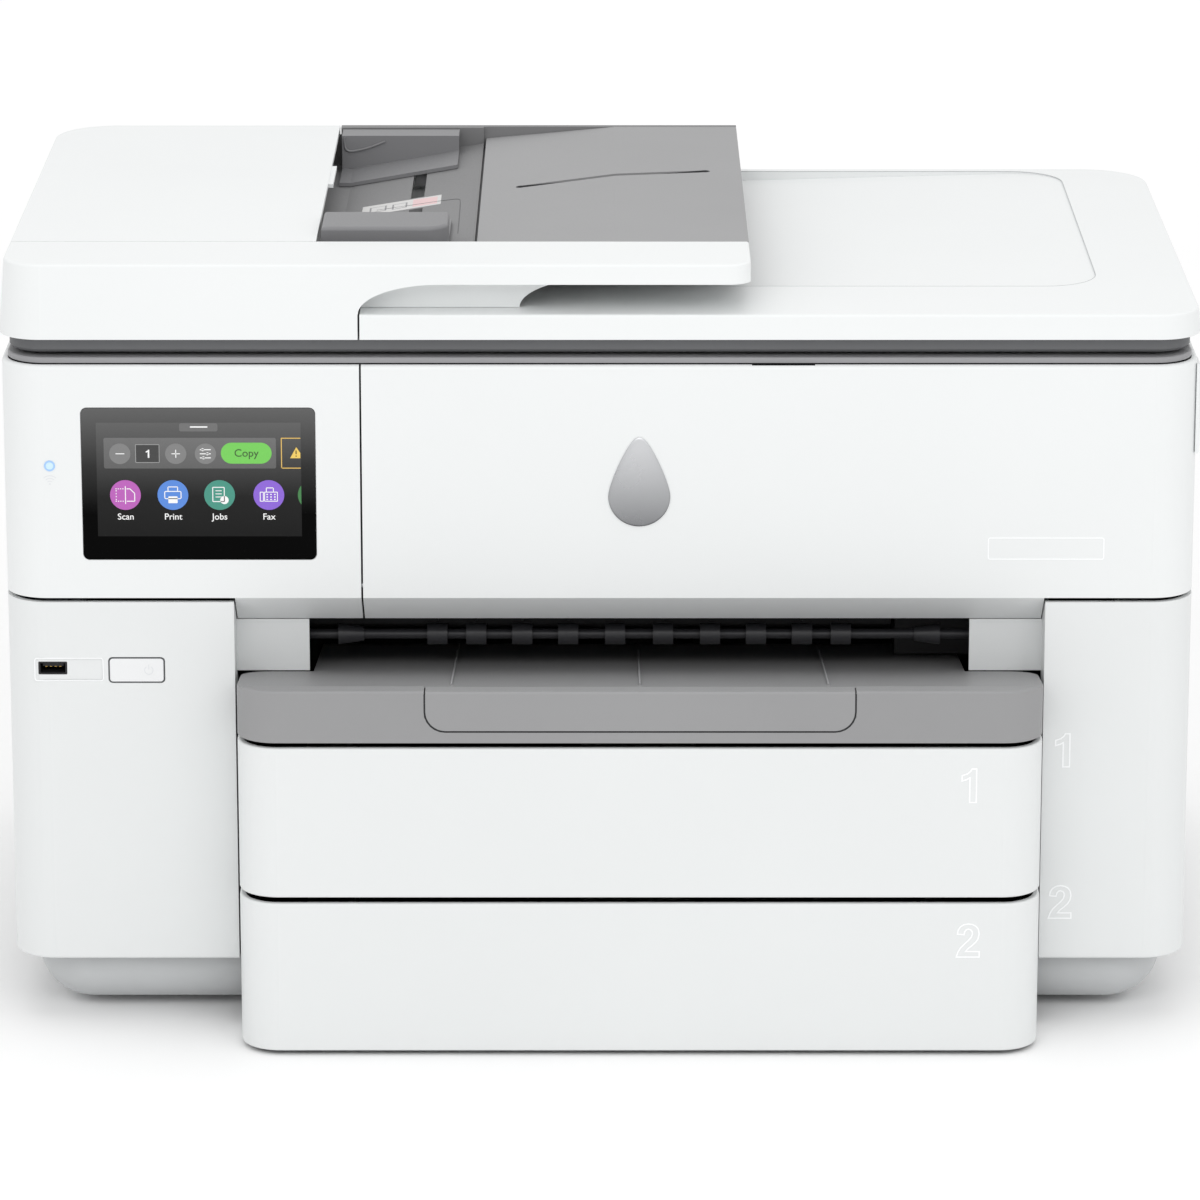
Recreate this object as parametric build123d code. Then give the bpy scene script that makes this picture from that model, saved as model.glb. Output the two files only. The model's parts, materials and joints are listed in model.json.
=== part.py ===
"""Wide-format inkjet all-in-one: print engine, two paper trays, flatbed scanner and document feeder.

Millimetres, +Z up, the front faces -Y, +X is to the right seen from the front. The origin is at the
bottom centre of the whole machine, on the surface that its rubber feet stand on. Every sub-part is
written to parts/NODE.step by the table at the end.
"""

from build123d import *
import math
import os

# ---------------------------------------------------------------- driving dimensions
HALF_W = 299.0            # body half width
LID_HALF_W = 300.0        # lid half width at its lower edge, the widest part
FRONT = -155.0            # body front plane
REAR = 205.0              # body rear plane
TRAY_FRONT = -205.0       # front plane of the paper trays and of the output tray
LID_REAR = 198.0
CORNER_FRONT = 22.0       # plan radius of the front corners
CORNER_REAR = 20.0
LID_CORNER_REAR = 35.0
WALL = 3.0                # outer cover thickness

Z_FOOT = 3.0              # height of the rubber feet
Z_HOUSING = 34.0          # lower edge of the white covers
Z_SEAM = 223.1            # top of the lower front covers
Z_BAND = 225.3            # bottom of the control panel and of the front door
Z_TOP = 345.3             # top of the covers
Z_BEZEL = 348.8           # top of the scanner bezel and of the glass
Z_LID = 351.0             # underside of the lid
Z_LID_COVER = 358.5       # lower edge of the white lid parts
Z_LID_TOP = 371.0         # top of the flat part of the lid
Z_STRIP = 386.0           # underside of the feeder's front strip and input tray
Z_ADF = 396.0             # top of the feeder
Z_GUIDE = 400.0           # top of the feeder's front paper guide, the highest point
LID_DRAFT = 4.6           # degrees

PAPER_X = 20.0            # centre line of the trays and the paper path
TRAY_HALF = 201.0
RECESS_HALF = 203.7
PANEL_X = -119.7          # right edge of the control panel
DOOR_X = -118.7           # left edge of the front door
WRAP_Y = -120.0           # how far the panel and the door wrap round the corners
RECESS_Y = -135.0         # plane of the cheeks beside the output slot
SLOT_HALF = 167.0         # half width of the output slot

TRAY_PITCH = 81.2         # height step from tray 2 to tray 1
TRAY_LOW = 2.5            # underside of tray 2's cover
TRAY_HIGH = 80.6          # top of tray 2's cover
TRAY_REAR = 150.0
PAPER_HALF = 148.5        # half the width of an A3 sheet

OUT_LOW, OUT_HIGH = 164.7, 191.4   # output tray front
OUT_TILT = 9.0                     # degrees, the output tray falls towards the machine
OUT_PIVOT = (-200.0, 189.5)        # y, z of the slanted plate's front top line
EXT_HALF = 106.5                   # half width of the output tray extension
EXT_LENGTH = 165.0

DOOR_AXIS = (-149.5, 230.5)        # y, z of the front door's hinge
DOOR_PIN_R = 1.5
LID_AXIS = (200.0, 355.0)          # y, z of the lid's hinge
LID_HINGE_X = 198.0
ADF_AXIS = (-296.5, 374.5)         # x, z of the feeder door's hinge

ADF_FRONT_Y = -99.3                # rear edge of the feeder's front strip
ADF_DOOR_X = -143.0                # right edge of the feeder's door
ADF_SEAM_X = -63.3                 # seam between the feeder floor and the input tray
ADF_RIGHT_X = 75.0                 # right edge of the input tray
ADF_TRAY_AXIS = (-60.6, 387.8)     # x, z of the input tray's hinge
ADF_PEG_R = 1.1
ADF_EARS = (-60.0, 30.0, 130.0)    # front ends of the ears of the feeder door's hinge
ADF_EAR_W = 12.0

CHASSIS_X = 260.0                  # inner faces of the steel side plates
ROLLER_Z = 195.0                   # feed and exit roller axes
EXIT_Y = -115.0
FEED_Y = 5.0
CARRIAGE_X = 200.0                 # carriage centre, parked over the service station
ROD_Y, ROD_Z, ROD_R = 22.0, 258.0, 5.0
BELT_Y, BELT_Z = 52.0, 275.0
PULLEY_X, PULLEY_R = 235.0, 6.3
SCAN_X = -202.0                    # scan bar at home, under the feeder's strip glass
SCAN_ROD = (31.0, 317.0)           # y, z
RUN = 0.05                         # radial running clearance


# ---------------------------------------------------------------- helpers
def block(x0, x1, y0, y1, z0, z1):
    """A box between two corners."""
    return Pos((x0 + x1) / 2, (y0 + y1) / 2, (z0 + z1) / 2) * Box(x1 - x0, y1 - y0, z1 - z0)


def plan(x0, x1, y0, y1, r_front, r_rear):
    """A rectangle on the XY plane with one radius for its front corners and one for its rear ones."""
    face = Pos((x0 + x1) / 2, (y0 + y1) / 2) * Rectangle(x1 - x0, y1 - y0)
    face = fillet(face.vertices().group_by(Axis.Y)[0], r_front)
    return fillet(face.vertices().group_by(Axis.Y)[-1], r_rear)


def prism(face, z0, z1, taper=0.0):
    """The face pulled up from z0 to z1, leaning inwards by taper degrees."""
    return extrude(Pos(0, 0, z0) * face, amount=z1 - z0, taper=taper)


def slab(x0, x1, y0, y1, z0, z1, r):
    """A box with rounded vertical edges."""
    return prism(plan(x0, x1, y0, y1, r, r), z0, z1)


def rod_x(x0, x1, y, z, r):
    """A cylinder along X."""
    return Pos((x0 + x1) / 2, y, z) * Rot(0, 90, 0) * Cylinder(r, x1 - x0)


def rod_y(x, y0, y1, z, r):
    """A cylinder along Y."""
    return Pos(x, (y0 + y1) / 2, z) * Rot(90, 0, 0) * Cylinder(r, y1 - y0)


def rod_z(x, y, z0, z1, r):
    """A cylinder along Z."""
    return Pos(x, y, (z0 + z1) / 2) * Cylinder(r, z1 - z0)


def along_x(points, x0, x1):
    """A closed outline of (y, z) points, pulled along X from x0 to x1."""
    wire = Polyline(*[(x0, y, z) for y, z in points], close=True)
    return extrude(make_face(wire), amount=x1 - x0, dir=(1, 0, 0))


def along_y(points, y0, y1):
    """A closed outline of (x, z) points, pulled along Y from y0 to y1."""
    wire = Polyline(*[(x, y0, z) for x, z in points], close=True)
    return extrude(make_face(wire), amount=y1 - y0, dir=(0, 1, 0))


def front_plate(x0, x1, z0, z1, r, y0, y1):
    """A plate that faces the front, with rounded corners, from depth y0 to y1."""
    face = Pos((x0 + x1) / 2, y1, (z0 + z1) / 2) * Rot(90, 0, 0) * RectangleRounded(x1 - x0, z1 - z0, r)
    return extrude(face, amount=y1 - y0, dir=(0, -1, 0))


def joined(parts):
    """One shape out of several."""
    whole = parts[0]
    for part in parts[1:]:
        whole = whole + part
    return whole


def edges_at(part, z, tolerance=0.01):
    """The edges that lie flat at height z."""
    return part.edges().filter_by(lambda e: all(abs(v.Z - z) < tolerance for v in (e @ 0, e @ 0.5, e @ 1)))


# ---------------------------------------------------------------- base
def base_pan():
    """The undercut lower pan: a floor with rounded sides, open at the front for the trays."""
    inset, bottom_r = 10.0, 26.0

    def shell(grow, low):
        face = plan(-HALF_W + inset + grow, HALF_W - inset - grow, FRONT + inset + grow, REAR - inset - grow,
                    30 - grow, 30 - grow)
        body = prism(face, low, Z_HOUSING if grow == 0 else Z_HOUSING + 1)
        return fillet(edges_at(body, low), bottom_r - grow)

    pan = shell(0, Z_FOOT) - shell(WALL, Z_FOOT + WALL)
    mouth = block(PAPER_X - RECESS_HALF, PAPER_X + RECESS_HALF, FRONT, FRONT + 60, Z_FOOT + WALL, Z_HOUSING + 1)
    return pan - mouth


def rubber_feet():
    """Four round feet under the pan."""
    feet = [rod_z(x, y, 0, Z_FOOT, 9) for x in (-235, 235) for y in (-95, 150)]
    return Compound(children=[chamfer(f.edges().group_by(Axis.Z)[0], 0.8) for f in feet])


# ---------------------------------------------------------------- outer covers
def cover_ring():
    """The whole outer wall of the machine, before it is split into its covers."""
    outer = prism(plan(-HALF_W, HALF_W, FRONT, REAR, CORNER_FRONT, CORNER_REAR), Z_HOUSING, Z_TOP)
    outer = fillet(edges_at(outer, Z_TOP), 2.0)
    outer = fillet(edges_at(outer, Z_HOUSING), 1.5)
    inner = prism(plan(-HALF_W + WALL, HALF_W - WALL, FRONT + WALL, REAR - WALL,
                       CORNER_FRONT - WALL, CORNER_REAR - WALL), Z_HOUSING - 1, Z_TOP + 1)
    return outer - inner


REAR_SPLIT_X = 270.0       # where the side covers end on the rear face
SEAM = 1.2                 # gap between neighbouring covers


def side_cover(ring, side):
    """Left (side -1) or right (side +1) cover with its cheek beside the output slot."""
    edge = PAPER_X + side * RECESS_HALF
    slot = PAPER_X + side * SLOT_HALF
    far = side * (HALF_W + 10)
    front = block(*sorted((edge, far)), FRONT - 5, WRAP_Y + SEAM, Z_HOUSING - 1, Z_SEAM)
    flank = block(*sorted((side * REAR_SPLIT_X, far)), WRAP_Y + SEAM, REAR + 5, Z_HOUSING - 1, Z_TOP + 1)
    wall = ring & (front + flank)
    flange = block(*sorted((edge, edge + side * 2.5)), FRONT + 1, RECESS_Y + 2.5, Z_HOUSING, Z_SEAM - 2.5)
    cheek = block(*sorted((slot, edge + side * 2.5)), RECESS_Y, RECESS_Y + 2.5, 181.5, 208.6)
    return wall + flange + cheek


USB = (-275.4, 188.5)      # x, z of the front USB socket
BUTTON = (-233.1, 187.6)   # x, z of the power button
BUTTON_SIZE = (27.0, 12.0)


def left_side_cover(ring):
    """The left cover, with the USB recess and the hole for the power button."""
    cover = side_cover(ring, -1)
    recess = front_plate(-285.0, -250.0, 181.7, 194.0, 2.0, FRONT - 1, FRONT + 0.5)
    socket = front_plate(USB[0] - 7.3, USB[0] + 7.3, USB[1] - 3.4, USB[1] + 3.4, 0.6, FRONT - 1, FRONT + 5)
    width, height = BUTTON_SIZE
    hole = front_plate(BUTTON[0] - width / 2 - 0.8, BUTTON[0] + width / 2 + 0.8,
                       BUTTON[1] - height / 2 - 0.8, BUTTON[1] + height / 2 + 0.8, 2.2, FRONT - 1, FRONT + 5)
    return cover - recess - socket - hole


PORTS_X = (-240.0, -80.0)  # span of the port block on the rear face
PORTS_Z = (120.0, 160.0)
INLET_X = 215.0            # mains inlet on the rear face


def rear_cover(ring):
    """The rear cover, with openings for the ports and the mains inlet, and two rows of vents."""
    cover = ring & block(-REAR_SPLIT_X + SEAM, REAR_SPLIT_X - SEAM, 150, REAR + 5, Z_HOUSING - 1, Z_TOP + 1)
    cover = cover - block(*PORTS_X, 195, 210, *PORTS_Z)
    cover = cover - block(INLET_X - 16, INLET_X + 16, 195, 210, 124, 150)
    for row_z in (262, 282):
        for i in range(12):
            x = 40 + 14 * i
            cover = cover - block(x, x + 9, 195, 210, row_z, row_z + 12)
    return cover


def lip(x0, x1):
    """The inward-sloping lower edge of the control panel and the front door."""
    return along_x([(FRONT, Z_BAND), (RECESS_Y, 209.0), (RECESS_Y + 1.6, 210.9), (FRONT + WALL, 226.1),
                    (FRONT + WALL, 229.0), (FRONT, 229.0)], x0, x1)


SCREEN = (-258.4, -141.9, 245.5, 323.6)    # x0, x1, z0, z1 of the touchscreen glass
LIGHT = (-274.5, 293.9)                    # x, z of the status light


def control_panel_bezel(ring):
    """The control panel: a front panel that wraps the left corner, with the pocket of the touchscreen."""
    panel = ring & block(-HALF_W - 5, PANEL_X, FRONT - 5, WRAP_Y, Z_BAND, Z_TOP + 1)
    panel = panel + lip(PAPER_X - RECESS_HALF + 0.6, PANEL_X)
    panel = panel + block(PANEL_X - 2.5, PANEL_X, FRONT + 2, FRONT + 5.5, 227.0, Z_TOP - 3)
    panel = panel + block(PANEL_X - 2.5, PANEL_X, FRONT + 5, FRONT + 14, 227.0, 300.0)
    x0, x1, z0, z1 = SCREEN
    panel = panel - front_plate(x0 - 0.3, x1 + 0.3, z0 - 0.3, z1 + 0.3, 3.3, FRONT - 1, FRONT + 1.6)
    panel = panel - front_plate(x0 + 5, x1 - 5, z0 + 6, z1 - 6, 1.0, FRONT, FRONT + 5)
    panel = panel - rod_y(LIGHT[0], FRONT - 1, FRONT + 6, LIGHT[1], 2.4)
    return panel - rod_x(PANEL_X - 5, PANEL_X + 5, *DOOR_AXIS, DOOR_PIN_R)


def touchscreen_glass():
    """Glass front of the touchscreen, flush in the control panel."""
    x0, x1, z0, z1 = SCREEN
    return front_plate(x0, x1, z0, z1, 3.0, FRONT - 0.2, FRONT + 1.6)


def status_light():
    """Light pipe of the wireless status light."""
    return rod_y(LIGHT[0], FRONT - 0.2, FRONT + 5, LIGHT[1], 2.3)


def front_door(ring):
    """The door in front of the ink carriage, with its hinge lugs and its side grip."""
    door = ring & block(DOOR_X, HALF_W + 5, FRONT - 5, WRAP_Y, Z_BAND, Z_TOP + 1)
    door = door + lip(DOOR_X, PAPER_X + RECESS_HALF - 0.6)
    door = door + block(DOOR_X, DOOR_X + 2.5, FRONT + 2, FRONT + 5.5, 240, Z_TOP - 3)
    door = door + fillet(block(HALF_W - 1, HALF_W + 1, -142, -126, 297, 343).edges().group_by(Axis.X)[-1], 0.9)
    door = door - block(75.6, 107.0, FRONT + 1.2, FRONT + 5, Z_TOP - 1.2, Z_TOP + 1)
    for x0, x1 in ((DOOR_X + 0.4, DOOR_X + 6.5), (236.0, 242.0)):
        door = door + rod_x(x0, x1, *DOOR_AXIS, 5.0)
        door = door - rod_x(x0 - 1, x1 + 1, *DOOR_AXIS, DOOR_PIN_R + RUN)
    return door


EMBLEM = (19.7, 284.7)     # x, z of the emblem's centre


def door_emblem():
    """A plain ink-drop badge on the front door."""
    cx, cz = EMBLEM
    r, tip, low = 15.5, 24.0, 6.5
    half = math.radians(58)
    right = (cx + r * math.sin(half), FRONT, cz - low + r * math.cos(half))
    left = (cx - r * math.sin(half), FRONT, cz - low + r * math.cos(half))
    top = (cx, FRONT, cz + tip)
    outline = Wire([ThreePointArc(right, (cx, FRONT, cz - low - r), left),
                    ThreePointArc(left, (cx - 5.2, FRONT, cz + 13.0), top),
                    ThreePointArc(top, (cx + 5.2, FRONT, cz + 13.0), right)])
    return extrude(make_face(outline), amount=0.9, dir=(0, -1, 0))


def hinge_hardware():
    """Pins of the front door and of the lid, and the ears that carry the lid's pins."""
    pins = [rod_x(PANEL_X - 2.5, DOOR_X + 6.0, *DOOR_AXIS, DOOR_PIN_R), rod_x(229.0, 242.5, *DOOR_AXIS, DOOR_PIN_R)]
    y, z = LID_AXIS
    for side in (-1, 1):
        hinge = rod_x(side * LID_HINGE_X - 12, side * LID_HINGE_X + 12, y, z, 2.5)
        for x in (side * LID_HINGE_X - 12, side * LID_HINGE_X + 7):
            hinge = hinge + block(x, x + 5, y - 4, y + 2, Z_BEZEL, z) + rod_x(x, x + 5, y, z, 5)
        pins.append(hinge)
    return Compound(children=pins)


def power_button():
    """The power key, with the stem that pushes its switch."""
    width, height = BUTTON_SIZE
    cap = front_plate(BUTTON[0] - width / 2, BUTTON[0] + width / 2, BUTTON[1] - height / 2,
                      BUTTON[1] + height / 2, 1.6, FRONT - 0.4, FRONT + 3.5)
    cap = fillet(cap.faces().sort_by(Axis.Y)[0].edges(), 0.35)
    return cap + rod_y(BUTTON[0], FRONT + 3, FRONT + 8, BUTTON[1], 3)


def usb_board():
    """The front circuit board with the USB socket and the power key's switch."""
    x, z = USB
    shell = block(x - 7.0, x + 7.0, FRONT + 0.6, FRONT + 16, z - 3.2, z + 3.2)
    shell = shell - block(x - 6.3, x + 6.3, FRONT, FRONT + 14.5, z - 2.56, z + 2.56)
    board = block(x - 8, BUTTON[0] + 12, FRONT + 16, FRONT + 17.6, 179, 198)
    switch = block(BUTTON[0] - 4, BUTTON[0] + 4, FRONT + 10, FRONT + 16, BUTTON[1] - 4, BUTTON[1] + 4)
    return shell + board + switch


def rear_ports():
    """Moulded block of the rear sockets: two phone jacks, network, USB-B, and the mains inlet."""
    x0, x1 = PORTS_X
    z0, z1 = PORTS_Z
    ports = block(x0 + 0.3, x1 - 0.3, REAR - 22, REAR - 2, z0 + 0.3, z1 - 0.3)
    for x, width, height in ((x0 + 20, 12, 10), (x0 + 50, 12, 10), (x0 + 88, 16, 13), (x0 + 126, 12, 11)):
        ports = ports - block(x - width / 2, x + width / 2, REAR - 16, REAR + 1, 136 - height / 2, 136 + height / 2)
    inlet = block(INLET_X - 15.7, INLET_X + 15.7, REAR - 24, REAR - 1, 124.3, 149.7)
    inlet = inlet - block(INLET_X - 12, INLET_X + 12, REAR - 18, REAR, 129, 145)
    return Compound(children=[ports, inlet])


# ---------------------------------------------------------------- output tray
def slanted(part):
    """Puts a part made on the XY plane (X across, +Y towards the machine) on the output tray's slope."""
    y, z = OUT_PIVOT
    return Pos(PAPER_X, y, z) * Rot(-OUT_TILT, 0, 0) * part


def output_tray():
    """The grey output tray: a thick rounded front and a slanted deck that runs into the machine."""
    front = prism(plan(PAPER_X - TRAY_HALF, PAPER_X + TRAY_HALF, TRAY_FRONT, RECESS_Y - 0.6, 20, 15),
                  OUT_LOW, OUT_HIGH)
    rear_edges = [e for e in edges_at(front, OUT_HIGH)]
    front = fillet(rear_edges, 1.2)
    hollow = prism(plan(PAPER_X - TRAY_HALF + 3, PAPER_X + TRAY_HALF - 3, TRAY_FRONT + 3, RECESS_Y + 5, 17, 12),
                   OUT_LOW - 1, OUT_HIGH)
    above = slanted(block(-250, 250, 4.0, 300, 1.8, 60))
    below = slanted(block(-250, 250, -30, 300, -60, -0.8))
    skirt = front - above - (hollow & below)
    deck = slanted(block(-SLOT_HALF + 2, SLOT_HALF - 2, 40, 172, -0.8, 1.8))
    rails = [slanted(block(*sorted((side * (EXT_HALF - 2), side * (EXT_HALF + 3))), 12, 172, -6.5, -0.8))
             for side in (-1, 1)]
    ledges = [slanted(block(*sorted((side * (EXT_HALF - 8), side * (EXT_HALF + 3))), 12, 172, -7.5, -5.0))
              for side in (-1, 1)]
    ribs = [slanted(block(x - 0.6, x + 0.6, 14, 168, 1.8, 2.5)) for x in (-94, 0, 94)]
    gap = front_plate(PAPER_X - EXT_HALF - 0.7, PAPER_X + EXT_HALF + 0.7, 170.3, 200.0, 10.7,
                      TRAY_FRONT - 1, TRAY_FRONT + 3.6)
    notch = block(PAPER_X - EXT_HALF - 0.7, PAPER_X + EXT_HALF + 0.7, TRAY_FRONT - 1, TRAY_FRONT + 9.5, 178, 200)
    tray = joined([skirt - gap - notch, deck, *rails, *ledges, *ribs])
    channel = slanted(block(-EXT_HALF + 1.3, EXT_HALF - 1.3, -20, 178, -4.6, -0.8))
    return tray - channel


def output_extension():
    """The pull-out extension: a rounded front tab and the plate that slides under the deck."""
    tab = front_plate(PAPER_X - EXT_HALF, PAPER_X + EXT_HALF, 171.0, 200.0, 10.0, TRAY_FRONT, TRAY_FRONT + 3.0)
    tab = tab & block(-200, 300, TRAY_FRONT - 1, TRAY_FRONT + 4, 160, OUT_HIGH - 0.2)
    ledge = block(PAPER_X - EXT_HALF, PAPER_X + EXT_HALF, TRAY_FRONT, TRAY_FRONT + 9.0, OUT_HIGH - 2.8, OUT_HIGH - 0.2)
    head = tab + ledge
    head = fillet(head.edges().filter_by(Axis.X).group_by(Axis.Y)[0].sort_by(Axis.Z)[-1:], 1.2)
    plate = slanted(block(-EXT_HALF + 2, EXT_HALF - 2, -3.5, EXT_LENGTH, -4.0, -1.2))
    web = block(PAPER_X - EXT_HALF + 2, PAPER_X + EXT_HALF - 2, TRAY_FRONT + 2, TRAY_FRONT + 4.2, 180, OUT_HIGH - 1)
    return head + plate + web


# ---------------------------------------------------------------- paper trays
def tray_cover(low):
    """Front cover of a tray: a U-shaped shell with rounded corners."""
    high = low + TRAY_HIGH - TRAY_LOW
    outer = prism(plan(PAPER_X - TRAY_HALF, PAPER_X + TRAY_HALF, TRAY_FRONT, -130, 20, 1), low, high)
    outer = fillet(edges_at(outer, high), 1.2)
    outer = fillet(edges_at(outer, low), 1.2)
    inner = prism(plan(PAPER_X - TRAY_HALF + 3, PAPER_X + TRAY_HALF - 3, TRAY_FRONT + 3, -120, 17, 1), low - 1, high + 1)
    return (outer - inner) & block(-400, 400, -300, FRONT - 3, 0, 300)


def tray_box(low):
    """The open paper box behind the cover, with a notch in its rear wall for the pick roller."""
    z0 = low + 4.4
    x0, x1 = PAPER_X - TRAY_HALF + 3.5, PAPER_X + TRAY_HALF - 3.5
    outer = prism(plan(x0, x1, TRAY_FRONT + 3.2, TRAY_REAR, 16.5, 4), z0, z0 + 47)
    inner = prism(plan(x0 + 2.5, x1 - 2.5, TRAY_FRONT + 5.7, TRAY_REAR - 2.5, 14, 2), z0 + 2.5, z0 + 60)
    notch = block(PAPER_X - 32, PAPER_X + 32, TRAY_REAR - 10, TRAY_REAR + 5, z0 + 14, z0 + 60)
    return outer - inner - notch


def tray_guide(low, side):
    """A width guide: an upright cheek on a foot, with the rack arm that reaches to the middle."""
    z = low + 9.5
    face = PAPER_X + side * PAPER_HALF
    cheek = block(*sorted((face, face + side * 3)), -70, 60, z, z + 32)
    foot = block(*sorted((face + side * 3, face + side * 28)), -30, 20, z, z + 2.5)
    rib = block(*sorted((face + side * 3, face + side * 16)), -6.5, -3.5, z, z + 27)
    arm = block(*sorted((PAPER_X - side * 4, face + side * 3)), *sorted((side * 7, side * 15)), z - 2.1, z - 0.4)
    neck = block(*sorted((face, face + side * 3)), *sorted((side * 7, side * 15)), z - 2.1, z)
    return joined([cheek, foot, rib, arm, neck])


def tray_length_guide(low):
    """The length guide: an upright stop on a foot, in front of the sheets."""
    z = low + 7.4
    stop = block(PAPER_X - 30, PAPER_X + 30, -74, -71, z, z + 34)
    foot = slab(PAPER_X - 22, PAPER_X + 22, -104, -72, z, z + 2.5, 4)
    ribs = [block(PAPER_X + x - 1.2, PAPER_X + x + 1.2, -92, -73, z, z + 18) for x in (-16, 16)]
    return joined([stop, foot, *ribs])


PICK_PIVOT = (55.0, 66.6)      # y, height over the tray cover's underside
PICK_REACH = (57.0, -24.0)     # from the pivot to the roller, y and z
PICK_R = 12.0


def pick_arm(low):
    """The pick arm on its cross shaft; it rests on its lower stop over the paper."""
    y, z = PICK_PIVOT[0], low + PICK_PIVOT[1]
    dy, dz = PICK_REACH
    shaft = rod_x(-CHASSIS_X - 1.7, CHASSIS_X + 1.7, y, z, 3)
    normal = Vector(0, -dz, dy).normalized() * 4
    arms = []
    for x in (PAPER_X - 22, PAPER_X + 19):
        side = along_x([(y + normal.Y, z + normal.Z), (y + dy + normal.Y, z + dz + normal.Z),
                        (y + dy - normal.Y, z + dz - normal.Z), (y - normal.Y, z - normal.Z)], x, x + 3)
        side = side + rod_x(x, x + 3, y, z, 6) + rod_x(x, x + 3, y + dy, z + dz, 5)
        arms.append(side - rod_x(x - 1, x + 4, y + dy, z + dz, 2 + RUN))
    return joined([shaft, *arms])


def pick_roller(low):
    """Rubber pick roller on its short axle."""
    y, z = PICK_PIVOT[0] + PICK_REACH[0], low + PICK_PIVOT[1] + PICK_REACH[1]
    return rod_x(PAPER_X - 17, PAPER_X + 17, y, z, PICK_R) + rod_x(PAPER_X - 22.5, PAPER_X + 22.5, y, z, 2)


# ---------------------------------------------------------------- print engine
def chassis_frame():
    """Steel side plates joined by the rear plate, the walls of the tray bay and the small brackets."""
    plates = []
    for side in (-1, 1):
        plate = [sorted((side * CHASSIS_X, side * (CHASSIS_X + 2)))]
        plates += [block(*plate[0], -130, 188, 24, 304), block(*plate[0], -100, 160, Z_FOOT + WALL, 24)]
        wall = PAPER_X + side * (RECESS_HALF - 0.7)
        plates += [block(*sorted((wall, wall + side * 1.5)), -118, 160, Z_FOOT + WALL, 140),
                   block(*sorted((wall, wall - side * 9)), -116, 150, 84.6, 87.8),
                   block(*sorted((wall, side * (CHASSIS_X + 1))), 158.5, 160, 30, 140)]
    plates.append(block(-CHASSIS_X - 2, CHASSIS_X + 2, 186, 188, 200, 304))
    plates.append(block(-CHASSIS_X - 1, -222, 42, 62, 265.3, 268.5))
    plates.append(block(218, CHASSIS_X + 1, 34, 70, 260, 263.2))
    y, z = DOOR_AXIS
    plates += [rod_x(229, 231.5, y, z, 2.35), block(229, 231.5, y, RECESS_Y + 8, z - 2.2, z + 2.2),
               block(229, CHASSIS_X + 1, RECESS_Y + 5, RECESS_Y + 8, z - 2.2, z + 2.2)]
    frame = joined(plates)
    span = CHASSIS_X + 5
    frame = frame - rod_x(225, 235, *DOOR_AXIS, DOOR_PIN_R) - rod_z(PULLEY_X, BELT_Y, 250, 267, 14.0)
    for y, z, r in ((EXIT_Y, ROLLER_Z, 2.5), (FEED_Y, ROLLER_Z, 4.0),
                    (PICK_PIVOT[0], TRAY_LOW + PICK_PIVOT[1], 3.0),
                    (PICK_PIVOT[0], TRAY_LOW + TRAY_PITCH + PICK_PIVOT[1], 3.0)):
        frame = frame - rod_x(-span, span, y, z, r + RUN)
    return frame


def guide_rods():
    """Polished rods of the ink carriage and of the scan bar."""
    return Compound(children=[rod_x(-CHASSIS_X, CHASSIS_X, ROD_Y, ROD_Z, ROD_R), rod_x(-290.5, 290.5, *SCAN_ROD, 4)])


def motor(x, y, z0, z1, r=14.0):
    """A can motor standing on Z."""
    return rod_z(x, y, z0, z1, r) + rod_z(x, y, z1 - 0.01, z1 + 1.5, 5)


def drive_motors():
    """The carriage, paper feed and scanner motors."""
    carriage = motor(PULLEY_X, BELT_Y, 236, 267)
    scanner = motor(-272, 160, 307.5, 330, 11)
    feed = rod_x(-CHASSIS_X, -CHASSIS_X + 30, 62, ROLLER_Z, 16) + rod_x(-CHASSIS_X + 29, -CHASSIS_X + 34, 62, ROLLER_Z, 4)
    return Compound(children=[carriage, scanner, feed])


def carriage_belt():
    """The toothed belt's loop round the two pulleys."""
    outer, inner = PULLEY_R + 1.3, PULLEY_R + 0.1

    def loop(r):
        return Pos(0, BELT_Y, 0) * SlotCenterToCenter(2 * PULLEY_X, 2 * r)

    return prism(loop(outer) - loop(inner), BELT_Z - 3, BELT_Z + 3)


def pulley(x):
    """A flanged belt pulley on its shaft."""
    hub = rod_z(x, BELT_Y, BELT_Z - 4.5, BELT_Z + 4.5, PULLEY_R)
    flanges = [rod_z(x, BELT_Y, z, z + 1.2, 9) for z in (BELT_Z - 4.9, BELT_Z + 3.7)]
    return joined([hub, *flanges, rod_z(x, BELT_Y, 268.8, 283, 1.5)])


def carriage():
    """The ink carriage: an open box with the rod bushing, the belt clamp and the print head below."""
    x0, x1 = CARRIAGE_X - 54, CARRIAGE_X + 54
    body = block(x0, x1, -86, 32, 212, 290)
    body = body - block(x0 + 3, x1 - 3, -90, 8, 219, 286)
    walls = [block(x - 0.6, x + 0.6, -84, 8, 219, 240) for x in CARTRIDGE_WALLS]
    head = block(x0 + 14, x1 - 14, -66, -20, 206, 212)
    clamp = block(CARRIAGE_X - 12, CARRIAGE_X + 12, 31, 48.5, 268, 281)
    strand = BELT_Y - PULLEY_R - 0.7
    clamp = clamp - block(CARRIAGE_X - 13, CARRIAGE_X + 13, strand - 0.9, strand + 0.9, 271.3, 285)
    whole = joined([body, head, clamp, *walls])
    return whole - rod_x(x0 - 1, x1 + 1, ROD_Y, ROD_Z, ROD_R + RUN)


CARTRIDGE_WIDTHS = (33.0, 21.0, 21.0, 21.0)     # the black cartridge is the wide one
CARTRIDGE_GAP = 1.8


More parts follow.
